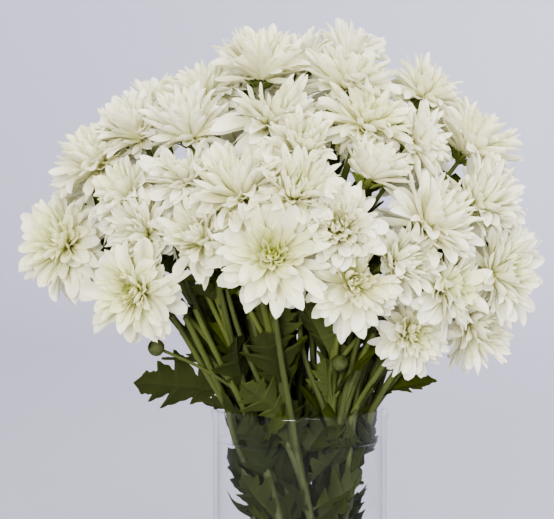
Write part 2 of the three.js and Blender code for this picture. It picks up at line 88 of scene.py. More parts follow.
SPRAYS = [
    spray(
        "front",
        (-8, -41),
        [
            flower((-40, -105, 347), 38),
            flower((-19, -125, 307), 40, 214, heart=1),
            flower((-66, -100, 316), 34, 227),
            flower((-4, -113, 346), 33, 240),
            flower((0, -95, 374), 30, 253),
        ],
        [(206, 245, 55, 20, 62), (190, 215, 35, 60, 50)],
    ),
    spray(
        "front_right",
        (22, -36),
        [
            flower((64, -95, 300), 31),
            flower((73, -72, 252), 31, 203, (-0.3, -0.2, 0.1), heart=0.7, raised=30),
            flower((34, -105, 288), 35, 214),
            flower((98, -80, 284), 34, 225, heart=0.8),
            flower((24, -112, 324), 33, 236),
        ],
        [(206, 305, 40, 50, 62), (222, 158, 60, 30, 50)],
        [((58, -46, 250), 207), ((28, -72, 234), 196)],
    ),
    spray(
        "right",
        (45, -9),
        [
            flower((121, -45, 340), 37, None, (0, -0.3, 0)),
            flower((118, -38, 256), 34, 208, (0, -0.4, -0.2)),
            flower((135, -45, 292), 38, 222, (0, -0.45, 0), heart=0.4),
            flower((140, 12, 308), 35, 236),
            flower((86, -85, 326), 38, 250),
        ],
        [(203, 352, 18, 25, 50), (190, 272, 30, 60, 50), (232, 140, 45, 0, 52)],
    ),
    spray(
        "front_left",
        (-34, -29),
        [
            flower((-105, -82, 318), 31),
            flower((-110, -95, 281), 36, 208, (0.15, -0.25, -0.1), heart=1),
            flower((-76, -80, 356), 33, 244),
            flower((-116, -62, 345), 33, 232, heart=0.6),
        ],
        [(222, 172, 14, 5, 56), (208, 255, 50, 60, 56), (186, 156, 25, 40, 44)],
        [((-101, -58, 243), 202)],
    ),
    spray(
        "left",
        (-46, 2),
        [
            flower((-140, -20, 368), 33, None, (0, -0.3, 0)),
            flower((-165, -25, 311), 37, 215, (0.2, -0.75, 0), heart=0.5),
            flower((-148, 45, 303), 34, 228),
            flower((-152, 25, 345), 33, 250),
            flower((-112, -28, 388), 33, 266, (0, -0.2, 0)),
        ],
        [(204, 188, 10, 62, 70), (222, 120, 30, 0, 58), (240, 260, 45, 0, 52)],
    ),
    spray(
        "top_front",
        (-17, -13),
        [
            flower((-26, -35, 430), 36, None, (0, -0.1, 0.6), raised=45),
            flower((-75, -55, 389), 36, 262, (0, 0, 0.2)),
            flower((-19, -74, 396), 38, 276),
            flower((-66, -12, 416), 30, 292),
        ],
        [(238, 280, 55, 0, 58), (262, 150, 50, 0, 54), (214, 70, 62, 30, 54)],
    ),
    spray(
        "top_right",
        (20, -10),
        [
            flower((44, -72, 394), 34, heart=0.6),
            flower((45, -95, 360), 29, 256, (0, 0.3, 1.0), raised=55),
            flower((117, -20, 378), 38, 244, (0.2, 0.3, 0.5), raised=40),
            flower((78, -58, 380), 32, 272),
            flower((32, -42, 422), 35, 298, heart=0.6),
        ],
        [(226, 170, 64, 0, 60), (250, 290, 45, 0, 54), (290, 250, 40, 0, 46)],
        [((22, -52, 300), 262)],
    ),
    spray(
        "top",
        (2, 12),
        [
            flower((34, 10, 440), 30),
            flower((88, -12, 415), 31, 286),
            flower((-40, 36, 426), 34, 300),
            flower((0, 5, 436), 31, 318),
        ],
        [(250, 115, 40, 0, 56), (290, 50, 45, 0, 48)],
    ),
    spray(
        "back_left",
        (-25, 26),
        [
            flower((-108, 52, 372), 35),
            flower((-108, 84, 322), 36, 226),
            flower((-60, 116, 318), 36, 238),
            flower((-48, 80, 384), 36, 258),
            flower((-98, 8, 406), 30, 276),
        ],
        [(208, 150, 20, 20, 66), (226, 95, 25, 0, 60)],
    ),
    spray(
        "back_right",
        (25, 30),
        [
            flower((20, 82, 390), 37),
            flower((98, 82, 306), 37, 212),
            flower((-8, 126, 318), 35, 224),
            flower((44, 116, 312), 37, 237),
            flower((84, 48, 374), 37, 256),
        ],
        [(208, 30, 18, 20, 66), (224, 85, 25, 0, 60)],
    ),
]
print("sprays:", len(SPRAYS), "blooms:", sum(len(s["blooms"]) for s in SPRAYS))

# %% [markdown]
# ## Parts and meshes
#
# A part here is three things: its points, its triangles, and its shades. A shade is one number for each
# point, such as how far along its petal the point lies, and the finishes read it back as an attribute. That
# is easier to steer than a texture's coordinates when a bloom has a hundred and fifty petals. Parts are
# joined in numpy first and become a mesh once, because joining thousands of objects in Blender is slow.


# %% Parts
def joined(parts):
    """Several parts as one."""
    starts = np.cumsum([0] + [len(points) for points, _, _ in parts[:-1]])
    points = np.concatenate([points for points, _, _ in parts])
    triangles = np.concatenate([faces + start for (_, faces, _), start in zip(parts, starts)])
    shades = {key: np.concatenate([shade[key] for _, _, shade in parts]) for key in parts[0][2]}
    return points, triangles, shades


def split(quads):
    """Four-sided faces, [..., 4], as triangles."""
    quads = quads.reshape(-1, 4)
    return np.concatenate([quads[:, [0, 1, 2]], quads[:, [0, 2, 3]]])


def unit(vectors):
    return vectors / np.linalg.norm(vectors, axis=-1, keepdims=True)


def mix(a, b, share):
    return a + (b - a) * share


print("a four-sided face becomes", len(split(np.arange(4))), "triangles")

# %% [markdown]
# ## From a part to a piece
#
# A piece is a part with a mesh, a finish and a place in the model: it rides on the body that carries it,
# and takes the place of the nodes that it replaces. Smooth shading hides the triangles of a petal, and only
# where faces meet sharply is an edge kept crisp.

# %% A piece
SHARP = math.radians(55)  # faces that meet at more than this keep a crisp edge between them


def piece(name, part, material, nodes):
    """A part as a piece of the object, in the place of these nodes of the frame."""
    points, triangles, shades = part
    mesh = bpy.data.meshes.new(name)
    mesh.from_pydata(points * MM, [], triangles)
    for key, values in shades.items():
        mesh.attributes.new(key, "FLOAT", "POINT").data.foreach_set("value", values.astype(np.float32))
    mesh.materials.append(material)
    mesh.shade_smooth()
    mesh.set_sharp_from_angle(angle=SHARP)
    made = bpy.data.objects.new(name, mesh)
    bpy.context.scene.collection.objects.link(made)
    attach(made, "root")
    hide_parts(*nodes)
    return made


print("meshes before the first piece:", len(bpy.data.meshes))

# %% [markdown]
# ## Shader sums in plain Python
#
# A finish is a small sum: so much cream, so much green, more of one near the base of a petal. Drawn as
# nodes that is a page of wires, so one class holds a node's output and turns +, -, * and ** into Math
# nodes. Colours are mixed by a Mix node instead, because a Math node would turn them grey.


# %% Wires
class Wire:
    """A node's output. Arithmetic on it adds Math nodes to the same finish."""

    def __init__(self, socket):
        self.socket = socket

    @classmethod
    def of(cls, tree, kind, inputs=None, output=0, **settings):
        """A new node of this kind: its settings first, then its sockets' values or wires."""
        node = tree.nodes.new(kind)
        for key, value in settings.items():
            setattr(node, key, value)
        for key, value in (inputs or {}).items():
            if isinstance(value, Wire):
                tree.links.new(value.socket, node.inputs[key])
            else:
                node.inputs[key].default_value = value
        return None if output is None else cls(node.outputs[output])

    def math(self, operation, first, second, clamp=False):
        inputs = {0: first, 1: second}
        return Wire.of(self.socket.id_data, "ShaderNodeMath", inputs, operation=operation, use_clamp=clamp)

    def __add__(self, other):
        return self.math("ADD", self, other)

    def __radd__(self, other):
        return self.math("ADD", other, self)

    def __sub__(self, other):
        return self.math("SUBTRACT", self, other)

    def __rsub__(self, other):
        return self.math("SUBTRACT", other, self)

    def __mul__(self, other):
        return self.math("MULTIPLY", self, other)

    def __rmul__(self, other):
        return self.math("MULTIPLY", other, self)

    def __pow__(self, power):
        return self.math("POWER", self, power)

    def held(self):
        """The same value, kept between 0 and 1."""
        return self.math("ADD", self, 0.0, clamp=True)


print("operators on a wire:", [key for key in vars(Wire) if hasattr(int, key) and not hasattr(object, key)])

# %% [markdown]
# ## Colours, shades and noise
#
# These four nodes come back in one finish after another. A short name for each keeps the sums readable, and
# the odd numbers of a Mix node's sockets stand in one place.

# %% Nodes that the finishes share
COLOUR_MIX = {"factor": 0, "a": 6, "b": 7, "result": 2}  # the colour sockets of a Mix node


def blend(tree, share, a, b):
    """Colour a, with this share of colour b."""
    inputs = {COLOUR_MIX["factor"]: share, COLOUR_MIX["a"]: a, COLOUR_MIX["b"]: b}
    return Wire.of(tree, "ShaderNodeMix", inputs, COLOUR_MIX["result"], data_type="RGBA")


def shade_of(tree, name):
    """A shade of the part, as its points hold it."""
    return Wire.of(tree, "ShaderNodeAttribute", output="Fac", attribute_name=name)


def noise(tree, scale, detail, vector=None):
    """Soft spots between 0 and 1, from the place on the object or from this vector."""
    if vector is None:
        vector = Wire.of(tree, "ShaderNodeTexCoord", output="Object")
    return Wire.of(tree, "ShaderNodeTexNoise", {"Scale": scale, "Detail": detail, "Vector": vector})


def bump(tree, height, strength, depth):
    """A surface that is raised where height is more, with the depth in metres."""
    return Wire.of(tree, "ShaderNodeBump", {"Strength": strength, "Distance": depth, "Height": height})


print("colour sockets of a Mix node:", COLOUR_MIX)

# %% [markdown]
# ## A finish
#
# One shader does for nearly all that isn't clear: the Principled one. Thin things such as petals and leaves
# also let light by, and a Translucent shader mixed in with it does that without any thickness.


# %% A finish
def cleared(name):
    """A new material with no nodes yet, and its tree."""
    material = bpy.data.materials.new(name)
    material.use_nodes = True
    material.node_tree.nodes.clear()
    return material, material.node_tree


def finish(name, surface, thin=None):
    """A material with the surface that a function makes. Thin is the share and the colour that it lets by."""
    material, tree = cleared(name)
    shader = Wire.of(tree, "ShaderNodeBsdfPrincipled", surface(tree))
    if thin:
        share, colour = thin
        glow = Wire.of(tree, "ShaderNodeBsdfTranslucent", {"Color": colour})
        shader = Wire.of(tree, "ShaderNodeMixShader", {0: share, 1: shader, 2: glow})
    Wire.of(tree, "ShaderNodeOutputMaterial", {"Surface": shader}, output=None)
    return material


print("materials before the first finish:", len(bpy.data.materials))

# %% [markdown]
# ## The petal white
#
# A chrysanthemum's white is a cream that is yellow-green where the petal is thick and young: at its base,
# and all over the smallest petals in the heart. Faint veins run along it. Light comes through a petal and
# gives a mass of blooms its soft shadows, where plain white would look like plaster. Subsurface scattering
# does this for a solid lump, but it leaves dark patches where petals run into one another, so a Translucent
# shader is mixed in instead. Each petal and each bloom has its own tone, so that they part from one
# another.


# %% Petal finish
CREAM = (0.93, 0.92, 0.87, 1)
IVORY = (0.90, 0.88, 0.52, 1)
HEART_GREEN = (0.50, 0.55, 0.02, 1)
PETAL_THIN = (0.5, (0.93, 0.93, 0.82, 1))


def petal_surface(tree):
    along, across, heart, tone = (shade_of(tree, name) for name in ("along", "across", "heart", "tone"))
    base = (1 - along) ** 2.2
    warm = (tone * 0.5 + base * 0.7 + heart**2 * 0.6).held()
    green = (base * (0.1 + heart * 0.7) + heart**3 * 0.8).held()
    grain = Wire.of(tree, "ShaderNodeCombineXYZ", {"X": across * 9.0, "Y": along * 1.5, "Z": tone * 40.0})
    veins = noise(tree, 2.0, 3.0, grain)
    return {
        "Base Color": blend(tree, green, blend(tree, warm, CREAM, IVORY), HEART_GREEN),
        "Roughness": 0.52 + veins * 0.16,
        "Normal": bump(tree, veins, 0.12, 0.0005),
        "Specular IOR Level": 0.25,
    }


PETAL_WHITE = finish("petal white", petal_surface, PETAL_THIN)
print("petal white:", len(PETAL_WHITE.node_tree.nodes), "nodes")

# %% [markdown]
# ## One blade
#
# A petal, a bract under a bloom and the scale of a bud are the same thing: a thin blade with a curved rib.
# Its rib starts at a root, climbs at some slope and bows as it goes, and its section is an arc, nearly half
# a tube at the base and opening towards the tip. It could be a curve with a bevel, but a bevel can't open
# and flatten on the way. So the blade is a grid of points, worked out for all the blades of a bloom at
# once, with a second sheet just under it that shares its rim, so that it is closed.


# %% The faces of a blade
FINE = 32  # steps along a rib when it is added up
ROWS = [0, 5, 10, 15, 20, 24, 27, 30, 32]  # of those steps, the ones that hold points
ACROSS = np.linspace(-1, 1, 7)


def corners(grid):
    """The four-sided faces between the points of a grid."""
    return np.stack([grid[:-1, :-1], grid[1:, :-1], grid[1:, 1:], grid[:-1, 1:]], -1)


def blade_faces(rows, columns):
    """The triangles of one blade: its upper sheet, then its lower one, which shares the rim."""
    upper = np.arange(rows * columns).reshape(rows, columns)
    lower = upper.copy()
    lower[1:-1, 1:-1] = rows * columns + np.arange((rows - 2) * (columns - 2)).reshape(rows - 2, -1)
    return np.concatenate([split(corners(upper)), split(corners(lower)[..., ::-1])])


FACES = blade_faces(len(ROWS), len(ACROSS))
print("a blade has", len(FACES), "triangles")

# %% [markdown]
# ## The rib of a blade
#
# A rib could be a Bezier curve, but then its length would change with each bend. So it is walked in small
# equal steps, each at its own slope and heading, and added up: bending it never stretches it, as with a
# real petal.

# %% Ribs and widths
TIP_CURL = {"from": 0.55, "ease": 0.2}  # where on a rib its tip starts to curl, and how gently
WIDEST = 0.64  # of the way along
BASE_WIDTH = 0.42  # of the widest
TIP_WIDTH = 0.006
TIP_ROUND = 0.62


def ribs(blade):
    """Each blade's rib: its points, and there the ways across it and up from it."""
    place = np.linspace(0, 1, FINE + 1)
    tip = np.maximum(place - TIP_CURL["from"], 0) ** 2 / TIP_CURL["ease"]
    slope = blade["rise"][:, None] + blade["bow"][:, None] * (1 - 2 * place) + blade["curl"][:, None] * tip
    way = blade["heading"][:, None] + blade["sway"][:, None] * place**2
    along = np.stack([np.cos(slope) * np.cos(way), np.cos(slope) * np.sin(way), np.sin(slope)], -1)
    steps = (along[:, 1:] + along[:, :-1]) / 2 * (blade["length"] / FINE)[:, None, None]
    points = np.cumsum(np.concatenate([blade["root"][:, None], steps], 1), 1)
    side = np.stack([-np.sin(way), np.cos(way), np.zeros_like(way)], -1)
    up = np.cross(along, side)
    roll = blade["roll"][:, None, None] * place[:, None]
    rolled_side = np.cos(roll) * side + np.sin(roll) * up
    rolled_up = np.cos(roll) * up - np.sin(roll) * side
    return points[:, ROWS], rolled_side[:, ROWS], rolled_up[:, ROWS]


def half_widths(blade):
    """A blade's half-width at each row: a narrow base, its widest at two thirds, and a blunt tip."""
    place = np.array(ROWS) / FINE
    waist = mix(BASE_WIDTH, 1, np.sin(np.clip(place / WIDEST, 0, 1) * np.pi / 2))
    beyond = np.clip((place - WIDEST) / (1 - WIDEST), 0, 1)
    end = np.maximum(1 - beyond ** blade["blunt"][:, None], TIP_WIDTH) ** TIP_ROUND
    return blade["half"][:, None] * waist * end


print("a rib is added up in", FINE, "steps and keeps", len(ROWS), "of its points")

# %% [markdown]
# ## From ribs to blades
#
# Along the rib the section is drawn across: an arc, with grooves and a wavy edge. The lower sheet lies as
# far below the upper as the petal is thick there, and meets it at the rim. All blades of a bloom are worked
# out at once in numpy, where a loop over each would take a hundred times as long.

# %% Blades
GROOVES = np.cos(3 * np.pi * ACROSS)  # ridges in the middle and at two thirds, grooves between
RIPPLE = {"along": 9, "across": 2}  # how fast the waves of a blade's edge run


def blades(blade, shades):
    """All blades as one part. Each value of blade and of shades is one number for each blade."""
    points, side, up = ribs(blade)
    place = (np.array(ROWS) / FINE)[None, :, None]
    half = half_widths(blade)[..., None]
    cup_root, cup_tip, groove, wave, phase, thick = (
        blade[key][:, None, None] for key in ("cup_root", "cup_tip", "groove", "wave", "phase", "thick")
    )
    cup = mix(cup_root, cup_tip, place)
    angle = cup * ACROSS
    reach = half / cup * np.sin(angle)
    ripple = np.sin(RIPPLE["along"] * place + RIPPLE["across"] * ACROSS + phase)
    rise = half / cup * (1 - np.cos(angle)) + groove * GROOVES * np.sin(np.pi * place)
    rise = rise + wave * ripple * ACROSS**2
    upper = points[:, :, None] + reach[..., None] * side[:, :, None] + rise[..., None] * up[:, :, None]
    facing = -np.sin(angle)[..., None] * side[:, :, None] + np.cos(angle)[..., None] * up[:, :, None]
    body = thick * np.sqrt(1 - ACROSS**2) * np.sqrt(1 - place**3)
    lower = (upper - body[..., None] * facing)[:, 1:-1, 1:-1]
    count = len(upper)
    cloud = np.concatenate([upper.reshape(count, -1, 3), lower.reshape(count, -1, 3)], 1)
    each = cloud.shape[1]
    found = {}
    for key, value in {"along": place, "across": ACROSS}.items():
        sheet = np.broadcast_to(value, body.shape)
        inner = sheet[:, 1:-1, 1:-1]
        found[key] = np.concatenate([sheet.reshape(count, -1), inner.reshape(count, -1)], 1).ravel()
    found.update({key: np.repeat(value, each) for key, value in shades.items()})
    faces = FACES[None] + each * np.arange(count)[:, None, None]
    return cloud.reshape(-1, 3), faces.reshape(-1, 3), found


print("a blade holds", len(ROWS), "by", len(ACROSS), "points on its upper sheet")

# %% [markdown]
# ## How a bloom stands
#
# A bloom faces out of the dome, with its own lean. Its petals are grown in a frame of its own, where the Z
# axis is the way that it faces, and are brought to their place afterwards. A young bloom holds its petals
# up and shows its green cup. Where the list gives no heart, chance adds to the lean and makes a few blooms
# young.


# %% Frames
HEART = np.array([-18.0, 0.0, 262.0])  # the point that the dome of blooms spreads from
LEAN = 0.24
YOUNG = 50  # degrees, by which the petals of the youngest bloom stand up more
BLOOM_BASE = 0.23  # from a bloom's middle down to its base, as a share of its radius


def axes_of(facing):
    """The axes, as rows, of a frame whose Z axis is this way."""
    side = unit(np.cross(UP, facing))
    return np.stack([side, np.cross(facing, side), facing])


def placed(part, axes, origin):
    """A part brought out of a frame of its own."""
    points, faces, shades = part
    return origin + points @ axes, faces, shades


def stand(bloom):
    """Settles which way a bloom faces, and how young it is."""
    if bloom["heart"] is None:
        bloom["lean"] = bloom["lean"] + draw.normal(0, LEAN, 3)
        bloom["raised"] = bloom["raised"] or YOUNG * draw.uniform() ** 3
    facing = unit(unit(bloom["at"] - HEART) + bloom["lean"])
    bloom["facing"] = facing
    bloom["axes"] = axes_of(facing)
    bloom["base"] = bloom["at"] - facing * BLOOM_BASE * bloom["radius"]


BLOOMS = [bloom for each in SPRAYS for bloom in each["blooms"]]
for bloom in BLOOMS:
    stand(bloom)
print("young blooms:", sum(bloom["raised"] > YOUNG / 2 for bloom in BLOOMS))

# %% [markdown]
# ## Its neighbours
#
# Blooms are pushed together, and none grows through another. Looking for every pair of petals that touch
# would be slow. A plane half way to each neighbour, in the bloom's own frame, says nearly the same in a
# moment.


# %% Planes between neighbours
GAP = 0.35  # left between pieces that touch


def limits(bloom):
    """The planes half way to the neighbours, in the bloom's frame: the ways towards them, and how far."""
    ways, reaches = [], []
    for other in BLOOMS:
        toward = other["at"] - bloom["at"]
        distance = np.linalg.norm(toward)
        if other is bloom or distance >= bloom["radius"] + other["radius"]:
            continue
        share = bloom["radius"] / (bloom["radius"] + other["radius"])
        way = toward / distance
        middle = bloom["at"] + way * (distance * share - GAP / 2)
        ways.append(bloom["axes"] @ way)
        reaches.append(way @ (middle - bloom["base"]))
    return np.array(ways), np.array(reaches)


print("a bloom has", round(np.mean([len(limits(bloom)[1]) for bloom in BLOOMS]), 1), "neighbours on average")

# %% [markdown]
# ## A bloom
#
# The petals sit on a small dome, each one turned from the last by the golden angle, as in any flower head.
# The outer ones are long, broad and nearly flat, with tips that droop or turn up. Going in they get
# shorter, narrower, steeper and more hollow, down to the small green ones that stand round the heart. No
# two petals are quite alike, but all follow the same few lists, from the outermost to the innermost.


# %% The lists for the petals
PETALS = 146
GOLDEN_ANGLE = math.radians(137.508)
RANK_STOPS = [0, 0.14, 0.35, 0.6, 0.82, 0.91, 1]  # from the outermost petal, 0, to the innermost, 1
RISE = [-38, -8, 16, 42, 66, 80, 88]  # degrees
BOW = [6, 9, 8, 0, -12, -22, -12]  # degrees
LENGTH = [0.86, 1, 1.03, 1.02, 0.96, 0.8, 0.32]  # of the bloom's radius
OPEN_LENGTH = [0.86, 1, 1, 0.84, 0.48, 0.3, 0.15]  # the same, where the heart is fully open
HALF_WIDTH = [0.14, 0.16, 0.15, 0.122, 0.095, 0.07, 0.05]  # of the bloom's radius
CUP_TIP = [0.35, 0.35, 0.45, 0.7, 0.9, 1.1, 1.2]  # radians, half the arc of a petal's section
RANK = np.linspace(0, 1, PETALS)
DOME = {"radius": 0.15, "foot": 0.02, "height": 0.13}  # of the bloom's radius: what the petals sit on
DOME_CLOSING = 0.98  # how much of its width it has lost, squared, where the innermost petals sit
print("a bloom has", PETALS, "petals")

# %% [markdown]
# ## What chance may change
#
# Some of it goes for a whole bloom, such as how broad its petals are, and some for each petal by itself.
# Without the first all blooms would look like copies, and without the second each would look like a
# cogwheel.

# %% Petals that differ
OPEN_BY_CHANCE = (0, 0.25)  # how open a heart is, where the list doesn't say
CUPPED = (-6, 16)  # degrees, by which a bloom's middle petals stand up more
BROAD = (0.82, 1.12)  # how broad a bloom's petals are, against the list
SCATTER = {"heading": 0.35, "rise": math.radians(20), "bow": math.radians(14), "cup_tip": 0.2}
TWIST = {"sway": 0.65, "roll": 0.8}  # radians to either side, as the scatter is
CALMER = {"rise": 0.6, "curl": 0.4}  # how much less the innermost petals differ
CURL = (-52, 46)  # degrees, from a tip that droops to one that turns up
LONG = (0.7, 1.05)  # against the list
WIDE = (0.7, 1.15)
BLUNT = (1.3, 3.2)  # from a pointed tip to a blunt one
WAVY = (0.1, 0.6)  # millimetres
HOLLOW_BASE = 1.5  # radians, half the arc of a petal's section at its base
GROOVE_DEPTH = 0.16
PETAL_THICKNESS = 0.5


def spread(size):
    """A random number from -size to size for each petal."""
    return draw.uniform(-size, size, PETALS)


def by_rank(values):
    """A number for each petal, from the seven of a list."""
    return np.interp(RANK, RANK_STOPS, values)


def petals_of(bloom):
    radius = bloom["radius"]
    openness = bloom["heart"] if bloom["heart"] is not None else draw.uniform(*OPEN_BY_CHANCE)
    cupped = math.radians(draw.uniform(*CUPPED))
    broad = draw.uniform(*BROAD)
    heading = draw.uniform(0, 2 * np.pi) + GOLDEN_ANGLE * np.arange(PETALS) + spread(SCATTER["heading"])
    dome = DOME["radius"] * radius * np.sqrt(1 - DOME_CLOSING * RANK)
    up = radius * (DOME["foot"] + DOME["height"] * RANK)
    raised = np.radians(bloom["raised"] * (1 - RANK))
    rise = np.radians(by_rank(RISE)) + raised + cupped * np.sin(np.pi * RANK)
    return {
        "root": np.stack([np.cos(heading) * dome, np.sin(heading) * dome, up], -1),
        "heading": heading,
        "rise": rise + spread(SCATTER["rise"]) * (1 - CALMER["rise"] * RANK),
        "bow": np.radians(by_rank(BOW)) + spread(SCATTER["bow"]),
        "curl": np.radians(draw.uniform(*CURL, PETALS)) * (1 - CALMER["curl"] * RANK),
        "sway": spread(TWIST["sway"]),
        "roll": spread(TWIST["roll"]),
        "length": radius * mix(by_rank(LENGTH), by_rank(OPEN_LENGTH), openness) * draw.uniform(*LONG, PETALS),
        "half": radius * broad * by_rank(HALF_WIDTH) * draw.uniform(*WIDE, PETALS),
        "blunt": draw.uniform(*BLUNT, PETALS),
        "cup_root": np.full(PETALS, HOLLOW_BASE),
        "cup_tip": by_rank(CUP_TIP) + spread(SCATTER["cup_tip"]),
        "groove": np.full(PETALS, GROOVE_DEPTH),
        "wave": draw.uniform(*WAVY, PETALS),
        "phase": draw.uniform(0, 6, PETALS),
        "thick": np.full(PETALS, PETAL_THICKNESS),
    }


print("petals differ in length by", LONG, "and in width by", WIDE)

# %% [markdown]
# ## Making room
#
# A petal that would cross the plane to a neighbour bends up first, as real ones do when blooms are pushed
# together, and only then is cut shorter. Some may reach a little way in between their neighbour's petals,
# or the blooms would look walled off. A simulation of all the petals could do this, but it would be slow
# and hard to steer.

# %% Bent clear of the neighbours
STEEPEST = math.radians(70)
BEND = math.radians(4)
SHORTEST = 0.42  # of the bloom's radius
CROSSING = (4, 20)  # how far a petal may reach in between its neighbour's
NEAR_EDGE = 0.7  # of a petal's half-width
FREE = 3  # the first points of a petal's middle, at its root, may lie anywhere


def outline_of(petals):
    """Points down the middle of each petal and near both its edges, in the bloom's frame."""
    points, side, _ = ribs(petals)
    edge = side * half_widths(petals)[..., None] * NEAR_EDGE
    return np.concatenate([points, points + edge, points - edge], 1)


def bent_clear(bloom, petals):
    """Bends up, then shortens, the petals that would cross into a neighbour's room."""
    ways, reaches = limits(bloom)
    spare = mix(*CROSSING, draw.uniform(0, 1, PETALS) ** 2)
    shortest = SHORTEST * bloom["radius"]
    while len(ways):
        reach = outline_of(petals)[:, FREE:] @ ways.T
        over = (reach.max(1) > reaches + spare[:, None]).any(1)
        bends = over & (petals["rise"] < STEEPEST)
        cuts = over & ~bends & (petals["length"] > shortest)
        if not (bends | cuts).any():
            break
        petals["rise"][bends] += BEND
        petals["length"][cuts] -= 1
    return petals


print("a petal may reach", CROSSING, "mm past the plane")

# %% [markdown]
# ## Gaps
#
# The dome isn't closed: here and there it opens, and green and shade show in between. Leaving a bloom out
# would make a hole that is far too big, so the petals that reach across such a place are kept short.

# %% Gaps in the dome
GAPS = [  # a place, and how wide the gap is
    ((-112, -62, 376), 8),
    ((-77, -80, 372), 8),
    ((-44, -72, 402), 8),
    ((-27, -70, 410), 9),
    ((24, -98, 376), 10),
    ((46, -102, 339), 7),
    ((77, -48, 402), 8),
    ((108, -52, 362), 9),
    ((-88, -102, 306), 7),
    ((50, -114, 298), 6),
    ((-140, -40, 338), 7),
    ((20, 110, 352), 8),
    ((-84, 88, 352), 8),
]
GAP_DEPTH = (-40, 25)  # from how far inside the place to how far outside
GAP_LEAN = 0.5  # a gap opens towards the eye more than the dome does
LEAST = 0.3  # of the bloom's radius


def in_gap(places, gap, width):
    """True for each petal with a point in this gap."""
    out = unit(unit(gap - HEART) + [0, -GAP_LEAN if gap[1] < 0 else GAP_LEAN, 0])
    depth = (places - gap) @ out
    away = np.linalg.norm(places - gap - depth[..., None] * out, axis=-1)
    return ((away < width) & (depth > GAP_DEPTH[0]) & (depth < GAP_DEPTH[1])).any(1)


def open_gaps(bloom, petals):
    """Shortens the petals that reach across a gap."""
    while True:
        places = bloom["base"] + outline_of(petals) @ bloom["axes"]
        inside = np.any([in_gap(places, *gap) for gap in GAPS], axis=0)
        inside &= petals["length"] > LEAST * bloom["radius"]
        if not inside.any():
            return petals
        petals["length"][inside] -= 1


print("gaps:", len(GAPS))

# %% [markdown]
# ## The blooms
#
# Now every bloom is grown: its petals get their room, then the gaps, then their shades. All the petals of a
# bloom are one piece, because on the real one they are fused at the base, and nobody would take them off
# one by one.


# %% The blooms
HEART_SHADE = (0.6, 1)  # how green the innermost petals get, from a closed heart to an open one
TONE = 0.5  # the most that a bloom's own tone comes to, and then a petal's own


def bloom_part(bloom):
    petals = open_gaps(bloom, bent_clear(bloom, petals_of(bloom)))
    heart = RANK * mix(*HEART_SHADE, bloom["heart"] or 0)
    tone = draw.uniform(0, TONE) + draw.uniform(0, TONE, PETALS)
    return placed(blades(petals, {"heart": heart, "tone": tone}), bloom["axes"], bloom["base"])


for each in SPRAYS:
    for number, bloom in enumerate(each["blooms"], 1):
        name = f"{each['name']}_{number}"
        piece(f"petals_{name}", bloom_part(bloom), PETAL_WHITE, [f"bloom_{name}"])
print("petals:", PETALS * len(BLOOMS))

# %% [markdown]
# ## Green finishes
#
# The stems are matt, dark olive and a little brown where they are old, and paler on the new growth under
# the blooms, with fine lines along them. The old colour is also painted shade on the stems in the jar, and
# the new one painted light on those in the shade of the blooms. A leaf has no single green: it is mottled,
# paler along its veins and greyer below, and a leaf deep in the jar is painted darker, as painted shade,
# than one among the blooms, which is painted paler, as painted light. A picture of each would show the same
# spots on every leaf, so the shades and a noise steer the colours.


# %% Stem and leaf finishes
# the old colour also serves as painted shade for the stems in the jar, the new one as painted light under the
# blooms
OLD_STEM_AND_PAINTED_SHADE = (0.026, 0.033, 0.007, 1), (0.062, 0.074, 0.018, 1)  # from dark to light
NEW_STEM_AND_PAINTED_LIGHT = (0.08, 0.10, 0.018, 1), (0.155, 0.185, 0.038, 1)
LEAF_TOP = (0.010, 0.015, 0.002, 1), (0.115, 0.145, 0.018, 1)
LEAF_BACK = (0.014, 0.019, 0.004, 1), (0.10, 0.12, 0.035, 1)
LEAF_VEIN = (0.11, 0.13, 0.02, 1)
LEAF_THIN = (0.25, (0.27, 0.32, 0.04, 1))


def stem_surface(tree):
    young, around, run = (shade_of(tree, name) for name in ("young", "round", "run"))
    grain = Wire.of(tree, "ShaderNodeCombineXYZ", {"X": around * 3.0, "Y": run * 0.02, "Z": 0.0})
    lines = noise(tree, 4.0, 4.0, grain)
    patches = noise(tree, 18.0, 2.0)
    # young rises up the stem: the old colour low down is painted shade in the jar, the new one higher up
    # painted light under the blooms
    old = blend(tree, (lines * 1.1 - 0.1).held(), *OLD_STEM_AND_PAINTED_SHADE)
    new = blend(tree, lines, *NEW_STEM_AND_PAINTED_LIGHT)
    return {
        "Base Color": blend(tree, (young + patches * 0.3 - 0.15).held(), old, new),
        "Roughness": 0.5 + patches * 0.2,
        "Normal": bump(tree, lines, 0.35, 0.0008),
        "Specular IOR Level": 0.3,
    }


def leaf_surface(tree):
    vein, under, tone = (shade_of(tree, name) for name in ("vein", "under", "tone"))
    mottle = noise(tree, 60.0, 4.0)
    # tone makes a leaf paler: painted shade for the leaves in the jar, painted light for those above it and
    # among the blooms, with a random share of each leaf's own
    light = (mottle * 0.3 + tone * 0.8 - 0.05).held()
    top = blend(tree, vein * (0.1 + tone * 0.5), blend(tree, light, *LEAF_TOP), LEAF_VEIN)
    return {
        "Base Color": blend(tree, under, top, blend(tree, light, *LEAF_BACK)),
        "Roughness": 0.5 + under * 0.25 + mottle * 0.12,
        "Normal": bump(tree, mottle, 0.5, 0.001),
        "Specular IOR Level": 0.12,
    }


STEM_GREEN = finish("stem green", stem_surface)
LEAF_GREEN = finish("leaf green", leaf_surface, LEAF_THIN)
print("finishes:", [material.name for material in (PETAL_WHITE, STEM_GREEN, LEAF_GREEN)])

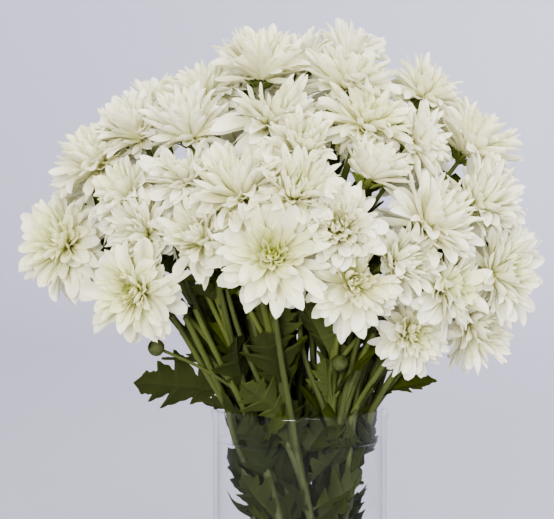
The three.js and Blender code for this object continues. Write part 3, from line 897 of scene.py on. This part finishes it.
# %% [markdown]
# ## Stems and forks
#
# A stem stands straight from the jar's floor to its mouth and then sweeps out to its first bloom. A florist
# turns the stems as they go in, so each foot is some way round from its seat in the mouth, and the stems
# lean past one another in a spiral. A fork leaves its stem at a small angle, following it a little before
# it turns to its own bloom. Both are worked out as lists of points, because the leaves and shoots need to
# find their place on them.


# %% Curves
FOOT_TURN = math.radians(75)
FOOT_SPREAD = 0.8  # how far from the axis a foot stands, as a share of its seat's distance
FORK_HUG = 0.35  # how far a fork first follows its stem
CURVE_POINTS = {"straight": 40, "sweep": 60, "fork": 36}
CALYX = {"depth": 6.5, "radius": 8}  # the green cup under a bloom


def sweep_to(start, way, end, facing, count):
    """A curve that leaves start along way and arrives at end along facing."""
    reach = np.linalg.norm(end - start) / 3
    leaving, arriving = start + way * reach, end - facing * reach
    t = np.linspace(0, 1, count)[:, None]
    return (1 - t) ** 3 * start + 3 * (1 - t) ** 2 * t * leaving + 3 * (1 - t) * t**2 * arriving + t**3 * end


def main_curve(each):
    """The stem's middle line, from its foot through its seat in the mouth to its first bloom."""
    x, y = each["seat"]
    turn = np.array([[math.cos(FOOT_TURN), -math.sin(FOOT_TURN)], [math.sin(FOOT_TURN), math.cos(FOOT_TURN)]])
    foot = np.append(turn @ (x, y) * FOOT_SPREAD, JAR["floor"] + GAP)
    mouth = np.array([x, y, JAR["height"]], float)
    leader = each["blooms"][0]
    end = leader["base"] - leader["facing"] * CALYX["depth"]
    straight = mix(foot, mouth, np.linspace(0, 1, CURVE_POINTS["straight"])[:, None])
    sweep = sweep_to(mouth, unit(mouth - foot), end, leader["facing"], CURVE_POINTS["sweep"])
    return np.concatenate([straight[:-1], sweep])


def at_height(curve, height):
    """The point of a rising curve at this height, and the way along it there."""
    point = np.array([np.interp(height, curve[:, 2], curve[:, i]) for i in range(3)])
    i = min(np.searchsorted(curve[:, 2], height), len(curve) - 1)
    return point, unit(curve[i] - curve[i - 1])


def fork_curve(main, height, end, facing):
    start, way = at_height(main, height)
    away = unit(mix(unit(end - start), way, FORK_HUG))
    return sweep_to(start, away, end, facing, CURVE_POINTS["fork"])


def run_of(path):
    """How far along a path each of its points lies."""
    return np.cumsum(np.linalg.norm(np.diff(path, axis=0, prepend=path[:1]), axis=1))


print("the first stem is", round(run_of(main_curve(SPRAYS[0]))[-1]), "mm long")

# %% [markdown]
# ## Tubes
#
# A stalk is a ring of points round each point of its curve, and a cap at each end. Each ring is turned as
# little as can be from the one before, or the tube would twist. Five soft ribs run along it. A curve object
# with a round bevel would give the tube, but not the ribs, the joints and the shades that the finish needs.


# %% Skins and tubes
STEM_SIDES = 15
STEM_RIBS = 5
RIB_DEPTH = 0.05


def skin(rings, foot, top=None):
    """The points and triangles round these rings, closed by a point at each end, or left open at the top."""
    rows, sides = rings.shape[:2]
    index = np.arange(rows * sides).reshape(rows, sides)
    after = np.roll(index, -1, 1)
    faces = [split(np.stack([index[:-1], after[:-1], after[1:], index[1:]], -1))]
    faces.append(np.stack([after[0], index[0], np.full(sides, index.size)], -1))
    if top is not None:
        faces.append(np.stack([index[-1], after[-1], np.full(sides, index.size + 1)], -1))
    ends = [foot] if top is None else [foot, top]
    return np.concatenate([rings.reshape(-1, 3), ends]), np.concatenate(faces)


def tube(path, radii, young):
    """A closed tube along a path, with a radius for each point and a shade from old to young growth, which on
    the stems is also painted shade low down and painted light high up.
    """
    across = np.array([1.0, 0.0, 0.0])
    turns = np.linspace(0, 2 * np.pi, STEM_SIDES, endpoint=False)
    rings = []
    for middle, way, radius in zip(path, unit(np.gradient(path, axis=0)), radii):
        across = unit(across - way * (across @ way))
        beside = np.cross(way, across)
        size = radius * (1 + RIB_DEPTH * np.cos(STEM_RIBS * turns))
        rings.append(middle + np.outer(np.cos(turns) * size, across) + np.outer(np.sin(turns) * size, beside))
    points, faces = skin(np.array(rings), path[0], path[-1])
    run = run_of(path)
    shades = {
        "young": np.append(np.repeat(young, STEM_SIDES), [young[0], young[-1]]),
        "round": np.append(np.tile(turns, len(path)), [0, 0]),
        "run": np.append(np.repeat(run, STEM_SIDES), [run[0], run[-1]]),
    }
    return points, faces, shades


print("a tube has", STEM_SIDES, "sides")

# %% [markdown]
# ## Bracts
#
# Under each bloom small green bracts overlap, and they close over a bud as its scales. They are blades like
# the petals, only short, stiff and green, so the same function grows them: round a ring, each turned from
# the last by the golden angle.


# %% Bracts and scales
def green_blades(count, fresh=1.0, **values):
    """Bracts all round. What isn't said of them is the same for all."""
    still = {"bow": 0.1, "curl": 0.0, "sway": 0.0, "roll": 0.0, "blunt": 1.7, "groove": 0.08, "wave": 0.1}
    still.update({"cup_root": 0.6, "cup_tip": 0.5, "thick": 0.6, **values})
    heading = np.arange(count) * GOLDEN_ANGLE
    made = {key: np.full(count, float(value)) for key, value in still.items()}
    made["heading"] = heading
    made["phase"] = draw.uniform(0, 6, count)
    ring = made.pop("ring")
    made["root"] = np.stack([np.cos(heading) * ring, np.sin(heading) * ring, made.pop("level")], -1)
    points, faces, found = blades(made, {})
    young = fresh * (0.55 + 0.45 * found["along"]) + 0.4 * found["across"] ** 4
    return points, faces, {"young": young, "round": found["across"] * 2, "run": found["along"] * 20}


OUTER_BRACTS = {"rise": 0.75, "length": 8.5, "half": 2.0, "ring": 4.6, "level": -5.0}
INNER_BRACTS = {"rise": 0.55, "length": 8.0, "half": 2.2, "ring": 6.0, "level": -2.8}
BRACTS = 11  # in each of the two rows
print("a bloom's cup has", 2 * BRACTS, "bracts")

# %% [markdown]
# ## Stalks and their cups
#
# The cup is only the top of the stalk, widened, so it needs no mesh of its own: the last rings of the tube
# are larger. In the same way the tube swells a little where a fork or a leaf leaves it.

# %% Stalks
CUP_RINGS = [(0.35, 0.42), (0.62, 0.66), (0.85, 0.88), (0.95, 0.97)]  # shares of its height and of its radius
SWELL = {"size": 0.7, "reach": 3.0}  # how much thicker a stem is where something grows, and how far
# The ramp up the stem is real greening, and also painted shade in the jar and painted light under the blooms.
GREENING_AND_PAINTED_LIGHT = {"from": JAR["height"] - 30, "over": 110, "most": 0.8, "cup": 0.9}  # from old to young up the stem


def stalk(path, size, bloom, joints=()):
    """A stalk up to its bloom, widening into the cup, with its bracts."""
    rings = [bloom["base"] - bloom["facing"] * (CALYX["depth"] * (1 - up) + GAP * up) for up, _ in CUP_RINGS]
    radii = mix(size["foot"], size["top"], np.linspace(0, 1, len(path)))
    for height in joints:
        radii += SWELL["size"] * np.exp(-(((path[:, 2] - height) / SWELL["reach"]) ** 2))
    radii = np.append(radii, [CALYX["radius"] * share for _, share in CUP_RINGS])
    young = np.clip((path[:, 2] - GREENING_AND_PAINTED_LIGHT["from"]) / GREENING_AND_PAINTED_LIGHT["over"], 0, GREENING_AND_PAINTED_LIGHT["most"])
    young = np.append(young, np.full(len(rings), GREENING_AND_PAINTED_LIGHT["cup"]))
    parts = [tube(np.concatenate([path, rings]), radii, young)]
    for row in (OUTER_BRACTS, INNER_BRACTS):
        parts.append(placed(green_blades(BRACTS, **row), bloom["axes"], bloom["base"]))
    return parts


print("a cup is", 2 * CALYX["radius"], "mm across and", CALYX["depth"], "mm deep")

# %% [markdown]
# ## Buds
#
# A bud is a cup that is still closed: the stalk's tube ends in a small ball, and its scales stand straight
# up and bend in over it. Four are listed where green shows.

# %% Buds
PEDICEL = {"foot": 1.3, "top": 1.1}  # the thin stalk of a bud
BUD = {"radius": 4.6, "height": 10, "rise": 40}
BUD_RINGS = [(0.1, 0.6), (0.25, 0.85), (0.45, 0.98), (0.65, 1), (0.82, 0.8), (0.95, 0.42)]
BUD_YOUNG = [(0.2, 0.4), (0.1, 0)]  # from end to end of its stalk, and of its ball
BUD_SCALES = {"length": 12, "half": 2.4, "ring": 2.6, "level": 0.6}
SCALES = 14
WRAP = {"fresh": 0.1, "rise": 1.65, "bow": -1.1}  # how scales stand up and bend in


def closed_bud(path, facing, size, radii, young, scales):
    """A thin stalk along a path, with these radii at its ends, and on it a bud of this size in its scales."""
    end = path[-1]
    rings = [end + facing * size * BUD["height"] * up for up, _ in BUD_RINGS]
    ball = [BUD["radius"] * size * share for _, share in BUD_RINGS]
    radii = np.append(np.linspace(*radii, len(path)), ball)
    young = np.append(np.linspace(*young[0], len(path)), np.linspace(*young[1], len(rings)))
    wrapped = green_blades(SCALES, **WRAP, **scales)
    return [tube(np.concatenate([path, rings]), radii, young), placed(wrapped, axes_of(facing), end)]


def bud_parts(main, tip, height):
    facing = tip - HEART
    facing[2] = BUD["rise"]
    facing = unit(facing)
    path = fork_curve(main, height, tip - facing * BUD["height"], facing)
    return closed_bud(path, facing, 1, PEDICEL.values(), BUD_YOUNG, BUD_SCALES)


print("buds:", sum(len(each["buds"]) for each in SPRAYS))

# %% [markdown]
# ## Room among the stems
#
# Real leaves press against the glass and against one another. A cloth simulation of so many leaves would be
# slow and hard to steer. So a rule does it: past a soft limit a point is brought back inside the glass or,
# above the jar, inside the fan of the stems. What would stick into a bloom isn't bent but left out.

# %% Room
FAN = 0.8  # how much wider the stems stand with each millimetre above the jar
SOFT = 0.75  # of that room: from here out a leaf is pushed in
OFF_GLASS = 1.2
OFF_FLOOR = 4
IN_BLOOM = 0.85  # of a bloom's radius
BELOW_BLOOM = 3  # how far under a bloom's base a leaf still touches it


def pushed_in(points):
    """Points brought inside the glass or, above it, into the fan of the stems."""
    away = np.hypot(points[:, 0], points[:, 1])
    room = JAR["radius"] - JAR["wall"] - OFF_GLASS + FAN * np.maximum(points[:, 2] - JAR["height"], 0)
    last = room * (1 - SOFT)
    held = np.minimum(away, room - last) + last * (1 - np.exp(-np.maximum(away - room + last, 0) / last))
    return points * np.stack([held / away, held / away, np.ones(len(points))], -1)


def has_room(points):
    """True where points are above the jar's floor and out of the blooms."""
    if points[:, 2].min() < JAR["floor"] + OFF_FLOOR:
        return False
    for bloom in BLOOMS:
        near = np.linalg.norm(points - bloom["at"], axis=1) < IN_BLOOM * bloom["radius"]
        if (near & ((points - bloom["base"]) @ bloom["facing"] > -BELOW_BLOOM)).any():
            return False
    return True


far_out = np.array([[1000.0, 0.0, JAR["floor"]]])
print("in the jar a leaf stays within", round(pushed_in(far_out)[0, 0], 1), "mm of the axis")

# %% [markdown]
# ## Shoots and side stalks
#
# The frame has only the stalks that carry blooms. Real sprays have more: thin shoots with a closed bud that
# end under the blooms, and bare stalks side by side. The shoots are drawn at random and kept where they
# have room. The side stalks are listed one by one, because they show against the pale backdrop.

# %% Shoots and side stalks
SHOOTS = 6  # on each stem
SHOOT = {"from": (60, 200), "to": (255, 310), "out": (12, 42), "size": 0.7, "push": 3}
SHOOT_RADII = (2.6, 1.6)
SHOOT_YOUNG = [(0.0, 0.3), (0.3, 0.6)]
SHOOT_SCALES = {"length": 8.4, "half": 1.7, "ring": 1.8, "level": 0.4}
SIDE_STALKS = {  # where a stalk ends, out of sight under the blooms, and the height at which it forks
    "left": [((-97, -60, 263), 160), ((-84, -66, 262), 168)],
    "front_left": [((-72, -62, 268), 165)],
    "right": [((84, -42, 236), 158), ((96, -30, 240), 170)],
    "front_right": [((66, -56, 238), 160), ((50, -70, 252), 172)],
}
SIDE_RADII = (2.5, 1.9)
SIDE_YOUNG = (0.1, 0.6)
SHOOT_HEART = HEART * [1, 1, 0.7]  # the points that shoots and side stalks spread from lie lower
SIDE_HEART = HEART * [1, 1, 0.5]


def shoot_parts(main):
    """Thin side shoots with a small closed bud, which end under the blooms."""
    parts = []
    while len(parts) < 2 * SHOOTS:
        start = draw.uniform(*SHOOT["from"])
        end, _ = at_height(main, draw.uniform(*SHOOT["to"]))
        turn = draw.uniform(0, 2 * np.pi)
        end = end + draw.uniform(*SHOOT["out"]) * np.array([math.cos(turn), math.sin(turn), 0])
        facing = unit(unit(end - SHOOT_HEART) + UP)
        path = fork_curve(main, start, end, facing)
        if has_room(path) and np.abs(pushed_in(path) - path).max() <= SHOOT["push"]:
            parts += closed_bud(path, facing, SHOOT["size"], SHOOT_RADII, SHOOT_YOUNG, SHOOT_SCALES)
    return parts


def side_stalk(main, end, height):
    """A bare stalk that shows beside the others below the blooms."""
    path = pushed_in(fork_curve(main, height, np.array(end), unit(end - SIDE_HEART)))
    return tube(path, np.linspace(*SIDE_RADII, len(path)), np.linspace(*SIDE_YOUNG, len(path)))


print("shoots:", SHOOTS * len(SPRAYS), "side stalks:", sum(len(ends) for ends in SIDE_STALKS.values()))

# %% [markdown]
# ## The stalks of a spray
#
# A spray grew as one, so its stem, forks, cups, buds and shoots become one mesh with one finish. Each is a
# closed form that starts inside the stem. That is enough, because where they cross can't be seen.

# %% The stalks
STEM = {"foot": 3.2, "top": 2.2}
BRANCH = {"foot": 1.9, "top": 1.5}
OLD_JOINTS = [60, 110, 150]  # heights where leaves were stripped off in the jar


def stem_part(each):
    main = main_curve(each)
    leader, *others = each["blooms"]
    joints = [bloom["fork"] for bloom in others] + [leaf[0] for leaf in each["leaves"]] + OLD_JOINTS
    parts = stalk(main, STEM, leader, joints)
    for bloom in others:
        end = bloom["base"] - bloom["facing"] * CALYX["depth"]
        parts += stalk(fork_curve(main, bloom["fork"], end, bloom["facing"]), BRANCH, bloom)
    for tip, height in each["buds"]:
        parts += bud_parts(main, tip, height)
    parts += [side_stalk(main, *ends) for ends in SIDE_STALKS.get(each["name"], [])]
    return joined(parts + shoot_parts(main))


for each in SPRAYS:
    piece(f"stalks_{each['name']}", stem_part(each), STEM_GREEN, [f"stem_{each['name']}"])
print("stalks:", len(SPRAYS))

# %% [markdown]
# ## A leaf
#
# A chrysanthemum's leaf has a stalk, two pairs of deep lobes and a broad toothed end. Its outline is a
# short list: from where on the rib a row starts, and how far along and out it ends on the edge, with the
# lobes leaning forward. A grid is stretched between the rib and that edge. So its rows run out along the
# side veins, which can be raised and coloured with no drawing at all.

# %% A leaf's outline
LEAF_EDGE = [  # in shares of its length: where a row leaves the rib, and how far along and out it ends
    (0, 0, 0.016),
    (0.15, 0.15, 0.022),
    (0.21, 0.21, 0.1),
    (0.27, 0.29, 0.175),
    (0.31, 0.385, 0.235),
    (0.35, 0.37, 0.13),
    (0.42, 0.45, 0.21),
    (0.48, 0.55, 0.3),
    (0.53, 0.67, 0.36),
    (0.57, 0.63, 0.23),
    (0.6, 0.61, 0.14),
    (0.66, 0.69, 0.2),
    (0.71, 0.81, 0.25),
    (0.76, 0.785, 0.15),
    (0.82, 0.84, 0.135),
    (0.87, 0.905, 0.14),
    (0.91, 0.93, 0.085),
    (1, 1, 0.003),
]
LEAF_LOBES = [4, 8, 12]  # of those, the tips of lobes, where the side veins end
LEAF_STEPS = 3  # rows from one of them to the next
LEAF_TEETH = {"size": 0.01, "from": 0.05, "growth": 10, "forward": 0.5}  # they start this far from the rib


def leaf_rows():
    """Each row's start on the rib, and how far along and out it ends, with small teeth between the lobes."""
    steps = np.arange(LEAF_STEPS * (len(LEAF_EDGE) - 1) + 1)
    rib, ahead, out = (np.interp(steps / LEAF_STEPS, range(len(LEAF_EDGE)), c) for c in zip(*LEAF_EDGE))
    size = LEAF_TEETH["size"] * np.clip((out - LEAF_TEETH["from"]) * LEAF_TEETH["growth"], 0, 1)
    tooth = size * np.array([0, -1, 1])[steps % LEAF_STEPS]
    return rib, ahead + LEAF_TEETH["forward"] * np.maximum(tooth, 0), out + tooth


LEAF_RIB, LEAF_AHEAD, LEAF_OUT = leaf_rows()
print("a leaf has", len(LEAF_RIB), "rows")

# %% [markdown]
# ## One leaf
#
# The leaf folds a little at its rib, arches and droops, and ripples at its edge. Its veins lie sunk in the
# upper side. It could be a flat picture of a leaf with clear surroundings, but from the side that would be
# a line, and the deep lobes would have no edge to catch the light.

# %% One leaf
LEAF_ACROSS = np.array([-1, -0.78, -0.52, -0.26, -0.06, 0, 0.06, 0.26, 0.52, 0.78, 1])
LEAF_FACES = blade_faces(len(LEAF_RIB), len(LEAF_ACROSS))
LEAF_FOLD = 0.22  # how its halves stand up from the rib
LEAF_ARCH = 0.2
LEAF_CREST = 0.3  # where on its length it is highest
LEAF_RIPPLE = {"size": 0.025, "waves": 11, "shift": 6}  # its size in shares of the leaf's length
LEAF_THICKNESS = 0.55
VEIN_SINK = 0.45  # how deep the veins lie in the upper side
VEIN_WIDTH = 0.08


def leaf_blade(length, tone):
    """A leaf in a frame of its own, along the X axis."""
    share = np.abs(LEAF_ACROSS)
    reach = LEAF_OUT[:, None] * length * share
    x = mix(LEAF_RIB[:, None], LEAF_AHEAD[:, None], share)
    vein = np.exp(-((LEAF_ACROSS / VEIN_WIDTH) ** 2)) * np.ones_like(x)
    rows = np.arange(len(LEAF_RIB))[:, None]
    for lobe in LEAF_LOBES:
        vein = np.maximum(vein, np.exp(-((rows - lobe * LEAF_STEPS) ** 2)) * (1 - share) ** 0.5)
    arch = LEAF_ARCH * length * x * (2 * LEAF_CREST - x)
    wave = np.sin(LEAF_RIPPLE["waves"] * x + LEAF_RIPPLE["shift"] * tone)
    ripple = LEAF_RIPPLE["size"] * length * wave * share**2
    z = arch + LEAF_FOLD * reach + ripple - VEIN_SINK * vein
    upper = np.stack([x * length, reach * np.sign(LEAF_ACROSS), z], -1)
    lower = (upper - UP * (LEAF_THICKNESS * (0.5 + 0.5 * vein))[..., None])[1:-1, 1:-1]
    points = np.concatenate([upper.reshape(-1, 3), lower.reshape(-1, 3)])
    shades = {
        "vein": np.concatenate([vein.ravel(), vein[1:-1, 1:-1].ravel()]),
        "under": np.repeat([0.0, 1.0], [upper[..., 0].size, lower[..., 0].size]),
        "tone": np.full(len(points), tone),
    }
    return points, LEAF_FACES, shades


print("a leaf has", len(LEAF_FACES), "triangles")

# %% [markdown]
# ## A leaf on its stem
#
# A leaf is turned three times: rolled about its rib, tipped up, and turned to its heading. Three small
# matrices say this as plainly as the list does, and the order of the turns stays in sight.


# %% A leaf on its stem
def turned(heading, pitch, roll):
    """The axes of a leaf, as rows: along its rib, to its left, and up."""
    a, p, r = np.radians([heading, -pitch, roll])
    about_z = np.array([[math.cos(a), -math.sin(a), 0], [math.sin(a), math.cos(a), 0], [0, 0, 1]])
    about_y = np.array([[math.cos(p), 0, math.sin(p)], [0, 1, 0], [-math.sin(p), 0, math.cos(p)]])
    about_x = np.array([[1, 0, 0], [0, math.cos(r), -math.sin(r)], [0, math.sin(r), math.cos(r)]])
    return (about_z @ about_y @ about_x).T


def leaf_on(main, height, heading, pitch, roll, length, tone):
    root, _ = at_height(main, height)
    return placed(leaf_blade(length, tone), turned(heading, pitch, roll), root)


print("leaves by hand:", sum(len(each["leaves"]) for each in SPRAYS))

# %% [markdown]
# ## The many small leaves
#
# The frame has only the leaves that stick out of the bouquet. In the jar far more are pressed against the
# glass, coloured dark as painted shade, and small ones, coloured pale as painted light, fill the shade under
# the blooms. They are drawn at random in four layers, each pointing outwards, and kept where they have
# room. Five more are listed behind the deepest gaps in the dome.

# %% Small leaves
# How pale is painted shade for the two layers in the jar and painted light for the two above it.
SMALL_LEAVES = {  # how many for each stem, how pale, and from where to where, how steep and how long
    "deep in the jar": (5, 0.0, (25, 120), (30, 80), (38, 64)),
    "by its mouth": (6, 0.0, (115, 182), (15, 78), (38, 64)),
    "above it": (5, 0.6, (185, 300), (35, 82), (38, 62)),
    "among the blooms": (9, 0.6, (260, 370), (5, 75), (24, 40)),
}
OUTWARDS = 110  # degrees, how far a small leaf may turn from pointing straight out
ANY_ROLL = 70
PALE = {"by hand": 0.2, "in a gap": 0.3, "chance": 0.25}
GAP_LEAVES = {  # each as in the list of sprays
    "top_right": [(300, -30, 50, 20, 56), (300, -80, 60, 0, 50), (322, 0, 50, -20, 50)],
    "right": [(318, 120, 70, 0, 50), (312, 60, 75, 30, 50)],
}


def own_tone():
    return draw.uniform(0, PALE["chance"])


def small_leaves(main):
    found = []
    for count, light, heights, pitches, lengths in SMALL_LEAVES.values():
        kept = 0
        while kept < count:
            height, pitch, length = (draw.uniform(*pair) for pair in (heights, pitches, lengths))
            x, y, _ = at_height(main, height)[0]
            heading = math.degrees(math.atan2(y, x)) + draw.uniform(-OUTWARDS, OUTWARDS)
            roll = draw.uniform(-ANY_ROLL, ANY_ROLL)
            points, faces, shades = leaf_on(main, height, heading, pitch, roll, length, light + own_tone())
            if has_room(points):
                found.append((pushed_in(points), faces, shades))
                kept += 1
    return found


for each in SPRAYS:
    main = main_curve(each)
    leaves = [leaf_on(main, *leaf, PALE["by hand"] + own_tone()) for leaf in each["leaves"]]
    leaves += small_leaves(main)
    leaves += [leaf_on(main, *leaf, PALE["in a gap"]) for leaf in GAP_LEAVES.get(each["name"], [])]
    piece(f"leaves_{each['name']}", joined(leaves), LEAF_GREEN, [f"stem_{each['name']}"])
print("small leaves on each stem:", sum(layer[0] for layer in SMALL_LEAVES.values()))

# %% [markdown]
# ## The jar and its water
#
# Such a jar is blown or pressed round, so its mesh is turned on a lathe: a profile of radii and heights,
# with a thick floor, a rounded heel and a rim that is a little wider. It is a real wall with two faces,
# because what shows of clear glass is mostly its edges. The water has its curved edge where it climbs the
# glass, and reaches a hair into the wall, or a film of air between them would shine like a silver skin.

# %% A lathe
LATHE_SIDES = 128


def turned_rings(profile):
    """A ring of points for each radius and height of a profile."""
    turns = np.linspace(0, 2 * np.pi, LATHE_SIDES, endpoint=False)
    around = np.stack([np.cos(turns), np.sin(turns)], -1)
    return np.array([np.column_stack([around * radius, np.full(LATHE_SIDES, z)]) for radius, z in profile])


def lathe(profile):
    """A closed form turned round the Z axis from a profile that starts and ends on it."""
    foot, *wall, top = profile
    points, faces = skin(turned_rings(wall), (0, 0, foot[1]), (0, 0, top[1]))
    return points, faces, {}


def arc(centre, radius, start, end, steps=6):
    """Points of a profile round a rounded corner, between two angles in degrees."""
    angles = np.radians(np.linspace(start, end, steps))
    return [(centre[0] + radius * math.cos(a), centre[1] + radius * math.sin(a)) for a in angles]


print("a lathe turns", LATHE_SIDES, "sides")

# %% [markdown]
# ## The two profiles
#
# A profile has only the points that its shape needs: straight stretches have none between their ends, and
# the rounded corners come from one function. The jar's runs up outside, over the rim and down inside.

# %% The two profiles
JAR_LIP = {"depth": 8, "out": 1.2, "band": 3}
WATER_LEVEL = 172
INTO_GLASS = 0.1
CLIMB = [(0, 1.2), (0.6, 0.6), (2.2, 0)]  # where the water climbs the glass: how far in, and how high


def jar_profile():
    radius, height, heel = JAR["radius"], JAR["height"], JAR["heel"]
    inside = radius - JAR["wall"]
    lip = radius + JAR_LIP["out"]
    round_top = (lip - inside) / 2
    return [
        (0, 0),
        *arc((radius - heel, heel), heel, -90, 0),
        (radius, height - JAR_LIP["depth"]),
        (lip, height - JAR_LIP["out"] - JAR_LIP["band"]),
        *arc((lip - round_top, height - round_top), round_top, 0, 180, 9),
        *arc((inside - heel, JAR["floor"] + heel), heel, 0, -90),
        (0, JAR["floor"]),
    ]


def water_profile():
    radius = JAR["radius"] - JAR["wall"] + INTO_GLASS
    heel = JAR["heel"]
    floor = JAR["floor"] - INTO_GLASS
    return [
        (0, floor),
        *arc((radius - heel, floor + heel), heel, -90, 0),
        *((radius - inwards, WATER_LEVEL + up) for inwards, up in CLIMB),
        (0, WATER_LEVEL),
    ]


print("points in the profiles:", len(jar_profile()), "for the jar,", len(water_profile()), "for the water")

# %% [markdown]
# ## Clear glass and clear water
#
# A glass shader that bends light would be the true one. But few paths of light find their way from the
# lamps through bent walls, and the stems behind them come out dark and noisy. So both finishes let light
# straight through, with a trace of tint, and mirror the room: hardly at all face on, and more and more the
# flatter one looks along the wall.


# %% Clear finishes
def clear(name, tint, mirrored, waviness):
    """A material seen straight through. Mirrored is how much it mirrors face on."""
    material, tree = cleared(name)
    waves = bump(tree, noise(tree, waviness, 1.0), 0.1, 0.001)
    facing = Wire.of(tree, "ShaderNodeLayerWeight", {"Blend": 0.5, "Normal": waves}, "Facing")
    through = Wire.of(tree, "ShaderNodeBsdfTransparent", {"Color": tint})
    mirror = Wire.of(tree, "ShaderNodeBsdfAnisotropic", {"Roughness": 0.03, "Normal": waves})
    share = facing**5 * (1 - mirrored) + mirrored
    both = Wire.of(tree, "ShaderNodeMixShader", {0: share, 1: through, 2: mirror})
    Wire.of(tree, "ShaderNodeOutputMaterial", {"Surface": both}, output=None)
    return material


CLEAR_GLASS = clear("clear glass", tint=(0.992, 0.995, 0.993, 1), mirrored=0.012, waviness=14.0)
CLEAR_WATER = clear("clear water", tint=(0.985, 0.99, 0.98, 1), mirrored=0.004, waviness=9.0)
piece("glass_jar", lathe(jar_profile()), CLEAR_GLASS, ["jar"])
piece("jar_water", lathe(water_profile()), CLEAR_WATER, ["water"])

# %% [markdown]
# ## The backdrop
#
# The bouquet stands in front of a plain pale backdrop. A flat floor and a wall would show a horizon from
# some sides, so the floor is a wide bowl with rounded sides, which has none whichever way the camera looks.
# Its grey has a touch of blue. Painted light takes it softly from darker on the left to paler on the right,
# and painted shade keeps it darker near the middle of the floor, where the lamps light it most.

# %% Floor
BOWL = {"flat": 3.4, "corner": 2.2, "top": 6.0}  # metres
BOWL_PAINTED_SHADE_AND_LIGHT = (0.41, 0.405, 0.468, 1), (0.79, 0.78, 0.90, 1)


def bowl_surface(tree):
    place = Wire.of(tree, "ShaderNodeTexCoord", output="Object")
    away = Wire.of(tree, "ShaderNodeVectorMath", {0: place}, "Value", operation="LENGTH")
    right = Wire.of(tree, "ShaderNodeSeparateXYZ", {"Vector": place}, "X")
    # painted shade darker near the middle of the floor, where the lamps light it most, painted light paler to
    # the right, and soft random patches
    share = ((away - 0.3) * 0.1 + right * 0.22 + (noise(tree, 0.6, 1.0) - 0.5) * 0.1).held()
    return {"Base Color": blend(tree, share, *BOWL_PAINTED_SHADE_AND_LIGHT), "Roughness": 0.9}


def bowl():
    corner = arc((BOWL["flat"], BOWL["corner"]), BOWL["corner"], -90, 0, 24)
    rings = turned_rings([(0.02, 0), *corner, (BOWL["flat"] + BOWL["corner"], BOWL["top"])])
    points, faces = skin(rings, (0, 0, 0))
    mesh = bpy.data.meshes.new("floor")
    mesh.from_pydata(points, [], faces[:, ::-1])
    mesh.materials.append(finish("pale floor", bowl_surface))
    mesh.shade_smooth()
    made = bpy.data.objects.new("floor", mesh)
    bpy.context.scene.collection.objects.link(made)


bowl()
print("the floor's bowl is", 2 * (BOWL["flat"] + BOWL["corner"]), "m across")

# %% [markdown]
# ## The light
#
# White petals show their form in soft light, and a small lamp would give each of them a hard shadow. So a
# large soft box stands in front, to the right and above, and a smaller one lower at the front left, which
# keeps the shadows under the petals open. The camera doesn't see the boxes, so they stay out of the other
# views.

# %% Lights
TARGET = Vector((-0.016, 0.0, 0.30))


def soft_box(name, place, size, power):
    light = bpy.data.lights.new(name, "AREA")
    light.shape = "DISK"
    light.size = size
    light.energy = power
    light.color = (1.0, 0.99, 0.99)
    made = bpy.data.objects.new(name, light)
    made.visible_camera = False
    made.location = place
    made.rotation_euler = (TARGET - Vector(place)).to_track_quat("-Z", "Y").to_euler()
    bpy.context.scene.collection.objects.link(made)


soft_box("key box", place=(1.2, -3.0, 2.5), size=2.4, power=148)
soft_box("fill box", place=(-0.8, -3.7, 0.75), size=1.2, power=175)

# %% [markdown]
# ## The world and the look
#
# A pale world fills the shadows from all sides. Light may bounce often, because between white petals it
# does, and with few bounces their shadows would turn grey. The look is a film-like one, which keeps bright
# petals from burning out.

# %% The world and the look
scene = bpy.context.scene
scene.world = bpy.data.worlds.new("pale room")
scene.world.use_nodes = True
room = scene.world.node_tree.nodes["Background"].inputs
room["Color"].default_value = (1.0, 0.995, 0.99, 1)
room["Strength"].default_value = 1.76
scene.view_settings.view_transform = "AgX"
scene.view_settings.look = "AgX - Medium High Contrast"
scene.cycles.max_bounces = 16
scene.cycles.diffuse_bounces = 12
scene.cycles.transparent_max_bounces = 24
print("look:", scene.view_settings.look)

# %% [markdown]
# ## The camera
#
# It looks almost level, from the height of the blooms, through a long lens, so that the jar's sides stay
# upright. A short lens from nearby would make the front blooms too large. The picture's lower edge cuts the
# jar off above its base.

# %% Camera
AIM = Vector((-0.016, 0.0, 0.299))
camera = bpy.data.cameras.new("camera")
camera.lens = 130
camera.sensor_width = 36
eye = bpy.data.objects.new("camera", camera)
eye.location = (-0.016, -1.4, 0.34)
eye.rotation_euler = (AIM - eye.location).to_track_quat("-Z", "Y").to_euler()
scene.collection.objects.link(eye)
scene.camera = eye
print("camera at", [round(c, 3) for c in eye.location])

# %% [markdown]
# ## The end
#
# A petal may reach a little past the frame's blooms, but not far.
